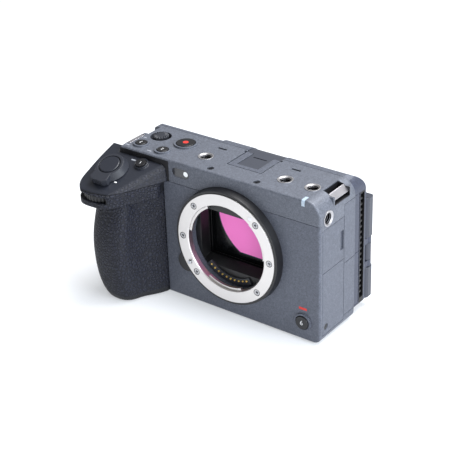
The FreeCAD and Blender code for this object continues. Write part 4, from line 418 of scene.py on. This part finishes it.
looks = {
    "body": speckled_paint("slate_wrinkle_paint", SLATE),
    # top: the dark colour also paints the shade inside the blind holes
    "top": top_paint("slate_top_paint", SLATE_TOP, colour(20, 20, 24)),
    "rubber": grained_rubber("leather_grain_rubber", CHARCOAL),
    # side: the darker slate is painted shade behind the doors' edge line; black is painted shade in the vent
    # slots
    "side": side_paint("slate_side_paint", SLATE, colour(58, 62, 76), BLACK),
    "shell": shell_paint("grip_side_paint", SLATE, colour(22, 23, 28)),
    "deck": moulded_plastic("deck_plastic", DECK, 0.36, 0.5),
    "block": moulded_plastic("contact_plastic", colour(42, 44, 50), 0.35),
    "lever": moulded_plastic("lever_plastic", DECK, 0.5, 0.5),
    "head": deck_finish("deck_and_leather", DECK, CHARCOAL),
    "lid": moulded_plastic("shoe_lid_plastic", colour(55, 58, 67), 0.4),
    # knurl: lighter tips and darker valleys are painted highlight and painted shade
    "knurl": knurled_finish("knurled_black", colour(34, 36, 43), 1.3),
    "black": moulded_plastic("black_plastic", INK, 0.4),
    "inner": moulded_plastic("inner_black", BLACK, 0.35),
    "chrome": turned_metal("strap_steel", colour(214, 212, 218), 0.32),
    "white_mark": moulded_plastic("white_print", colour(225, 226, 228), 0.5),
    "grey_mark": moulded_plastic("grey_print", colour(150, 154, 162), 0.5),
    "red_mark": moulded_plastic("red_print", colour(196, 44, 36), 0.5),
    # dark_mark: dark screw heads and rims, and painted shade in the bayonet screws' cross recesses
    "dark_mark": moulded_plastic("dark_screw_marks_and_shade", colour(30, 30, 34), 0.5),
    "ring": turned_metal("bayonet_steel", colour(216, 213, 211), 0.34, round_lens=True),
    "steel": turned_metal("pin_steel", colour(190, 192, 196), 0.3),
    # insert: the second, dark colour is painted shade inside the socket bores
    "insert": socket_metal("insert_steel", colour(176, 175, 178), colour(30, 30, 33)),
    # thread: steel darkened below the insert's tone as painted shade inside the bore
    "thread": turned_metal("shaded_thread_steel", colour(104, 104, 108), 0.45),
    "screw": screw_metal("screw_steel", colour(190, 190, 193), colour(70, 72, 78)),
    "gold": turned_metal("contact_gold", colour(255, 214, 120), 0.5),
    "alloy": turned_metal("heat_sink_alloy", colour(176, 178, 182), 0.35),
    "board": board_plastic("circuit_board", colour(24, 74, 50), BLACK),
    # sensor: the dark and cyan colours paint the throat's reflection on the glass
    "sensor": sensor_finish("sensor_cover_glass", colour(248, 128, 204), colour(8, 9, 10),
                            colour(14, 52, 56)),
    "screen": screen_glass("screen_glass", colour(14, 14, 17)),
    "window": window_finish("window_glass", colour(26, 27, 34), colour(235, 238, 240),
                            colour(160, 175, 190)),
    "case": moulded_plastic("monitor_plastic", colour(53, 56, 66), 0.42, 0.5),
    "curtain": moulded_plastic("curtain_black", colour(26, 26, 28), 0.5),
}

# Look of each node
finish_of = {
    "front_cover": "body", "top_cover": "top", "rear_cover": "side", "base_plate": "body",
    "side_cover": "side", "grip_shell": "shell", "grip_rubber": "rubber", "grip_deck": "head",
    "lamp_windows": "window", "port_door_front_upper": "body", "port_door_front_lower": "body",
    "port_door_rear_upper": "side", "port_door_rear_lower": "side", "port_jacks": "black",
    "mount_ring": "ring", "mount_collar": "black", "lens_release_button": "black", "lens_lock_pin": "steel",
    "light_box": "inner", "contact_block": "block", "contact_pins": "gold", "shutter_frame": "inner",
    "front_curtain": "curtain", "rear_curtain": "curtain", "image_sensor": "sensor",
    "sensor_stage": "inner", "heat_sink": "alloy", "fan_rotor": "black", "main_board": "board",
    "switch_domes": "steel", "screws": "screw", "thread_inserts": "insert", "accessory_shoe": "body",
    "shoe_cover": "lid", "strap_bars": "chrome", "shutter_button": "deck", "zoom_lever": "lever",
    "deck_button": "black", "front_dial": "black", "rear_dial": "black", "top_button_left": "black",
    "top_button_right": "black", "top_record_button": "black", "front_record_button": "black",
    "joystick_base": "black", "joystick_gimbal": "steel", "joystick_cap": "knurl", "control_wheel": "black",
    "wheel_button": "black", "menu_button": "black", "playback_button": "black", "power_switch": "black",
    "card_door": "body", "battery_door": "black", "battery_latch": "deck", "battery": "black",
    "monitor_arm": "case", "monitor_case": "case", "monitor_screen": "screen", "hinge_pins": "steel",
}


def dress(obj, look):
    """Give an object one finish."""
    obj.data.materials.clear()
    obj.data.materials.append(looks[look].material)


for node_name, node_object in nodes.items():
    dress(node_object, finish_of[node_name])


# Camera, light and floor
def stand_camera():
    """Camera at the photograph's angle: azimuth, height and roll about the view axis."""
    azimuth, height, roll = math.radians(37.72), math.radians(28.23), math.radians(-2.12)
    target = Vector((-3.28, -14.0, 50.33)) * MM
    stand_off = 655.76 * MM
    focal_share = 1330.44 / 450.0
    back = Vector((math.sin(azimuth) * math.cos(height), -math.cos(azimuth) * math.cos(height),
                   math.sin(height)))
    right = Vector((math.cos(azimuth), math.sin(azimuth), 0.0))
    up = back.cross(right)
    turned_right = math.cos(roll) * right + math.sin(roll) * up
    turned_up = math.cos(roll) * up - math.sin(roll) * right
    data = bpy.data.cameras.new("photo_camera")
    data.sensor_width = 36.0
    data.lens = focal_share * data.sensor_width
    data.clip_start = 0.05
    data.clip_end = 20.0
    camera = bpy.data.objects.new("photo_camera", data)
    bpy.context.scene.collection.objects.link(camera)
    turn = Matrix((turned_right, turned_up, back)).transposed().to_4x4()
    camera.matrix_world = Matrix.Translation(target + back * stand_off) @ turn
    bpy.context.scene.camera = camera


def area_light(name, place, aim, size, watts, tint=(1.0, 1.0, 1.0)):
    """Soft square lamp at a place, aimed at a point; places in metres."""
    data = bpy.data.lights.new(name, "AREA")
    data.shape = "SQUARE"
    data.size = size
    data.energy = watts
    data.color = tint
    lamp = bpy.data.objects.new(name, data)
    bpy.context.scene.collection.objects.link(lamp)
    lamp.location = place
    lamp.rotation_euler = (Vector(place) - Vector(aim)).to_track_quat("Z", "Y").to_euler()


def light_studio():
    """White surroundings and soft lamps above, at the right and in front."""
    world = bpy.data.worlds.new("studio")
    bpy.context.scene.world = world
    world.use_nodes = True
    shade = world.node_tree.nodes["Background"]
    shade.inputs["Color"].default_value = (1.0, 1.0, 1.0, 1.0)
    shade.inputs["Strength"].default_value = 0.34
    area_light("top_lamp", place=(0.15, 0.25, 0.8), aim=(0, 0, 0.05), size=0.6, watts=13.2)
    area_light("right_lamp", place=(0.68, -0.08, 0.38), aim=(0, 0, 0.05), size=0.4, watts=6.2,
               tint=(0.88, 0.94, 1.0))
    area_light("front_lamp", place=(0.34, -0.34, 0.2), aim=(0.05, 0, 0.04), size=0.2, watts=0.95,
               tint=(0.9, 0.95, 1.0))


def lay_floor():
    """Plain pale floor: a flat sheet of 6 by 6 metres just under the camera."""
    reach, level = 3.0, -0.0006
    x, y = np.meshgrid(np.linspace(-reach, reach, 3), np.linspace(-reach, reach, 3))
    obj = grid_piece("floor", np.stack([x, y, np.full_like(x, level)], axis=-1))
    paint = Paint("floor_white", Roughness=0.8, Emission_Color=(0.96, 0.98, 1.0, 1.0), Emission_Strength=0.42)
    patch = paint.noise(60.0)
    paint.set("Base Color", paint.mix(patch * 0.1, (0.5, 0.51, 0.53, 1), (0.47, 0.48, 0.5, 1)))
    obj.data.materials.append(paint.material)


def grid_piece(name, points, wrap_u=False, wrap_v=False, smooth=True):
    """Mesh of a grid of points (rows, columns, xyz in metres); faces wind by rows then columns."""
    rows, columns = points.shape[:2]
    index = np.arange(rows * columns).reshape(rows, columns)
    if wrap_u:
        index = np.concatenate([index, index[:1]], axis=0)
    if wrap_v:
        index = np.concatenate([index, index[:, :1]], axis=1)
    corners = [index[:-1, :-1], index[:-1, 1:], index[1:, 1:], index[1:, :-1]]
    faces = np.stack(corners, axis=-1).reshape(-1, 4)
    mesh = bpy.data.meshes.new(name)
    mesh.from_pydata(points.reshape(-1, 3).tolist(), [], faces.tolist())
    if smooth:
        mesh.shade_smooth()
    obj = bpy.data.objects.new(name, mesh)
    bpy.context.scene.collection.objects.link(obj)
    return obj


def drum(name, base, normal, radius, height, look, body, hole=0.001):
    """Low drum on a point: base + r(v) (e1 cos u + e2 sin u) + h(v) n, a closed ring when it has a hole."""
    normal = Vector(normal).normalized()
    side = normal.orthogonal().normalized()
    across = normal.cross(side)
    turn = np.linspace(0.0, 2.0 * np.pi, 32, endpoint=False)[:, None]
    radii = np.array([hole, radius, radius, hole])[None, :]
    heights = np.array([0.0, 0.0, 1.0, 1.0])[None, :] * height
    points = (np.array(base) + (np.cos(turn) * radii)[..., None] * np.array(side)
              + (np.sin(turn) * radii)[..., None] * np.array(across)
              + (heights + 0.0 * turn)[..., None] * np.array(normal))
    is_ring = hole > 0.01
    place_piece(grid_piece(name, points * MM, wrap_u=True, wrap_v=is_ring, smooth=False), look, body)


def place_piece(piece, look, body):
    """Finish a detail piece, turn its faces outward and let it ride on a body."""
    mesh = bmesh.new()
    mesh.from_mesh(piece.data)
    bmesh.ops.remove_doubles(mesh, verts=mesh.verts, dist=0.004 * MM)
    bmesh.ops.recalc_face_normals(mesh, faces=mesh.faces)
    mesh.to_mesh(piece.data)
    mesh.free()
    dress(piece, look)
    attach(piece, body)


def thread_turns(name, base, normal):
    """Turns of a thread in a bore: a torus of radius R and wire r at every pitch below the mouth."""
    radius, wire, pitch = 2.6, 0.26, 1.27
    first_turn, depth = 0.9, 5.0
    normal = Vector(normal).normalized()
    side = np.array(normal.orthogonal().normalized())
    across = np.cross(np.array(normal), side)
    turn = np.linspace(0.0, 2.0 * np.pi, 40, endpoint=False)[:, None]
    round_wire = np.linspace(0.0, 2.0 * np.pi, 6, endpoint=False)[None, :]
    reach = radius + wire * np.cos(round_wire)
    for i, level in enumerate(np.arange(first_turn, depth, pitch)):
        height = wire * np.sin(round_wire) - level + 0.0 * turn
        points = (np.array(base) + (np.cos(turn) * reach)[..., None] * side
                  + (np.sin(turn) * reach)[..., None] * across + height[..., None] * np.array(normal))
        place_piece(grid_piece(f"{name}_{i}", points * MM, True, True), "thread", "camera_body")


def upright(centre, right, up):
    """Matrix that lays a flat piece on the plane of right and up, centred on a point in millimetres."""
    turn = Matrix((right, up, right.cross(up))).transposed().to_4x4()
    return Matrix.Translation(Vector(centre) * MM) @ turn


def bar_mark(name, centre, right, up, size, look, body):
    """Thin printed bar: a box of width, height and a thickness of 0.08 mm, half of it above the plane."""
    thickness = 0.08
    right, up = Vector(right).normalized(), Vector(up).normalized()
    mesh = bmesh.new()
    bmesh.ops.create_cube(mesh, size=1.0)
    stretch = Matrix.Diagonal((size[0] * MM, size[1] * MM, thickness * MM, 1.0))
    bmesh.ops.transform(mesh, matrix=upright(centre, right, up) @ stretch, verts=mesh.verts)
    data = bpy.data.meshes.new(name)
    mesh.to_mesh(data)
    mesh.free()
    piece = bpy.data.objects.new(name, data)
    bpy.context.scene.collection.objects.link(piece)
    place_piece(piece, look, body)


def numeral(name, digit, centre, right, up, size, look, body):
    """A printed digit on the plane of right and up, raised by its extrusion."""
    right, up = Vector(right).normalized(), Vector(up).normalized()
    curve = bpy.data.curves.new(name, "FONT")
    curve.body = digit
    curve.size = size * MM
    curve.align_x = "CENTER"
    curve.align_y = "CENTER"
    curve.extrude = 0.02 * MM
    drawn = bpy.data.objects.new(name + "_curve", curve)
    bpy.context.scene.collection.objects.link(drawn)
    bpy.context.view_layer.update()
    data = bpy.data.meshes.new_from_object(drawn)
    bpy.data.objects.remove(drawn)
    data.transform(upright(centre, right, up))
    piece = bpy.data.objects.new(name, data)
    bpy.context.scene.collection.objects.link(piece)
    place_piece(piece, look, body)


def top_of(node):
    """Centre of a node's box in x and y, with its highest z, in millimetres."""
    low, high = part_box(node)
    return ((low.x + high.x) / 2 / MM, (low.y + high.y) / 2 / MM, high.z / MM)


def crown(node, normal):
    """Centre of a node's outermost face along a direction, in millimetres."""
    mesh = nodes[node].data
    flat = np.empty(len(mesh.vertices) * 3)
    mesh.vertices.foreach_get("co", flat)
    turn = np.array(nodes[node].matrix_world)
    points = (flat.reshape(-1, 3) @ turn[:3, :3].T + turn[:3, 3]) / MM
    height = points @ np.array(normal)
    flatness = 0.02
    face = points[height > height.max() - flatness]
    return (face.min(axis=0) + face.max(axis=0)) / 2


def on_ring(radius, degrees, y):
    """Point on a circle round the lens axis."""
    turn = math.radians(degrees)
    return (radius * math.cos(turn), y, LENS_HEIGHT + radius * math.sin(turn))


BACK_RIGHT, BACK_UP = (-1, 0, 0), (0, -1, 0)
DECK_UP = (0, -math.cos(DECK_TILT), -math.sin(DECK_TILT))
DECK_NORMAL = (0, -math.sin(DECK_TILT), math.cos(DECK_TILT))


def print_marks():
    """Digits on the keys and plain marks where the labels are."""
    for digit, node in (("3", "top_button_left"), ("2", "top_button_right")):
        numeral("digit_" + node, digit, top_of(node), BACK_RIGHT, BACK_UP, 2.8, "white_mark", node)
    numeral("digit_deck_button", "1", crown("deck_button", DECK_NORMAL), BACK_RIGHT, DECK_UP, 2.6,
            "white_mark", "deck_button")
    x, y, z = top_of("top_record_button")
    drum("red_dot_top", (x, y, z - 0.03), (0, 0, 1), 1.5, 0.06, "red_mark", "top_record_button")
    low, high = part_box("front_record_button")
    x, z = (low.x + high.x) / 2 / MM, (low.z + high.z) / 2 / MM
    numeral("digit_front_button", "6", (x, low.y / MM, z), (1, 0, 0), (0, 0, 1), 3.6, "white_mark",
            "front_record_button")
    bar_height = 17.7
    bar_mark("red_bar_front", (x, FRONT, bar_height), (1, 0, 0), (0, 0, 1), (4.6, 1.3), "red_mark",
             "camera_body")
    for i, (x, y, width) in enumerate(((-66.6, -11.0, 2.8), (-52.3, -10.9, 2.8), (-64.4, 0.4, 2.0))):
        bar_mark(f"label_top_{i}", (x, y, TOP), BACK_RIGHT, BACK_UP, (width, 0.7), "grey_mark", "camera_body")
    for name, (x, y), size, look in (("label_deck", (-58.3, -16.4), (2.8, 0.8), "grey_mark"),
                                     ("lever_mark", (-57.9, -31.6), (1.5, 0.8), "white_mark")):
        place = (x, y, DECK_HEIGHT + (y - FRONT) * DECK_SLOPE)
        bar_mark(name, place, BACK_RIGHT, DECK_UP, size, look, "camera_body")
    index_angle = 54.0
    drum("index_dot", on_ring(SCREW_CIRCLE, index_angle, RING_FACE), (0, -1, 0), 1.1, 0.05, "white_mark",
         "camera_body")


def cross_slots():
    """Dark rims on the six bayonet screws, and dark crosses that paint the shade in their cross recesses."""
    rim_lift, slot_lift = 0.02, 0.1
    for angle in (0, 45, 135, 180, 225, 315):
        drum(f"rim_{angle}", on_ring(SCREW_CIRCLE, angle, RING_FACE + rim_lift), (0, -1, 0), 1.8, 0.05,
             "dark_mark", "camera_body", 1.5)
        centre = on_ring(SCREW_CIRCLE, angle, RING_FACE + slot_lift)
        # Dark bars paint the shade in each screw's cross recess
        for i, (right, up) in enumerate((((1, 0, 0.4), (-0.4, 0, 1)), ((-0.4, 0, 1), (-1, 0, -0.4)))):
            bar_mark(f"cross_{angle}_{i}", centre, right, up, (1.5, 0.36), "dark_mark", "camera_body")


def knurl_stick():
    """Ribbed crown on the stick's cap: r = R share(v) (1 + swell cos 16u), z = rise(v) + rib(v) cos 16u."""
    low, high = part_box("joystick_cap")
    ribs, swell = 16, 0.03
    radius = (high.x - low.x) / 2 / MM
    turn = np.linspace(0.0, 2.0 * np.pi, 9 * ribs, endpoint=False)[:, None]
    share = np.array([0.001, 0.5, 0.7, 0.86, 0.97, 0.97, 0.001])[None, :]
    rise = np.array([0.55, 0.55, 0.42, 0.3, 0.05, -0.3, -0.3])[None, :]
    rib = np.array([0.0, 0.0, 0.2, 0.32, 0.15, 0.0, 0.0])[None, :]
    wave = np.cos(ribs * turn)
    reach = radius * share * (1.0 + swell * wave * (share > 0.6))
    points = np.stack([(low.x + high.x) / 2 / MM + reach * np.cos(turn),
                       (low.y + high.y) / 2 / MM + reach * np.sin(turn),
                       high.z / MM + rise + rib * wave], axis=-1)
    crown_piece = grid_piece("joystick_crown", points * MM, wrap_u=True, smooth=False)
    place_piece(crown_piece, "lever", "joystick_cap")


def set_side_screw():
    """Dark screw head in the recess of the lower front door, with its cross slot."""
    recess, head = 0.4, 0.2
    drum("side_screw", (RIGHT - recess, *SIDE_SCREW), (1, 0, 0), 1.45, head, "dark_mark",
         "port_door_front_lower")
    for i, (right, up) in enumerate((((0, 1, 0), (0, 0, 1)), ((0, 0, 1), (0, -1, 0)))):
        bar_mark(f"side_screw_slot_{i}", (RIGHT - recess + head, *SIDE_SCREW), right, up, (1.5, 0.3), "screw",
                 "port_door_front_lower")


def cut_threads():
    """Thread turns in the mounting sockets."""
    for i, x in enumerate(SOCKETS_ON_TOP):
        thread_turns(f"thread_top_{i}", (x, -0.7, TOP), (0, 0, 1))
    thread_turns("thread_side", SOCKET_IN_SIDE, (1, 0, 0))


print_marks()
cross_slots()
cut_threads()
knurl_stick()
set_side_screw()
stand_camera()
light_studio()
lay_floor()
bpy.context.scene.view_settings.view_transform = "Standard"
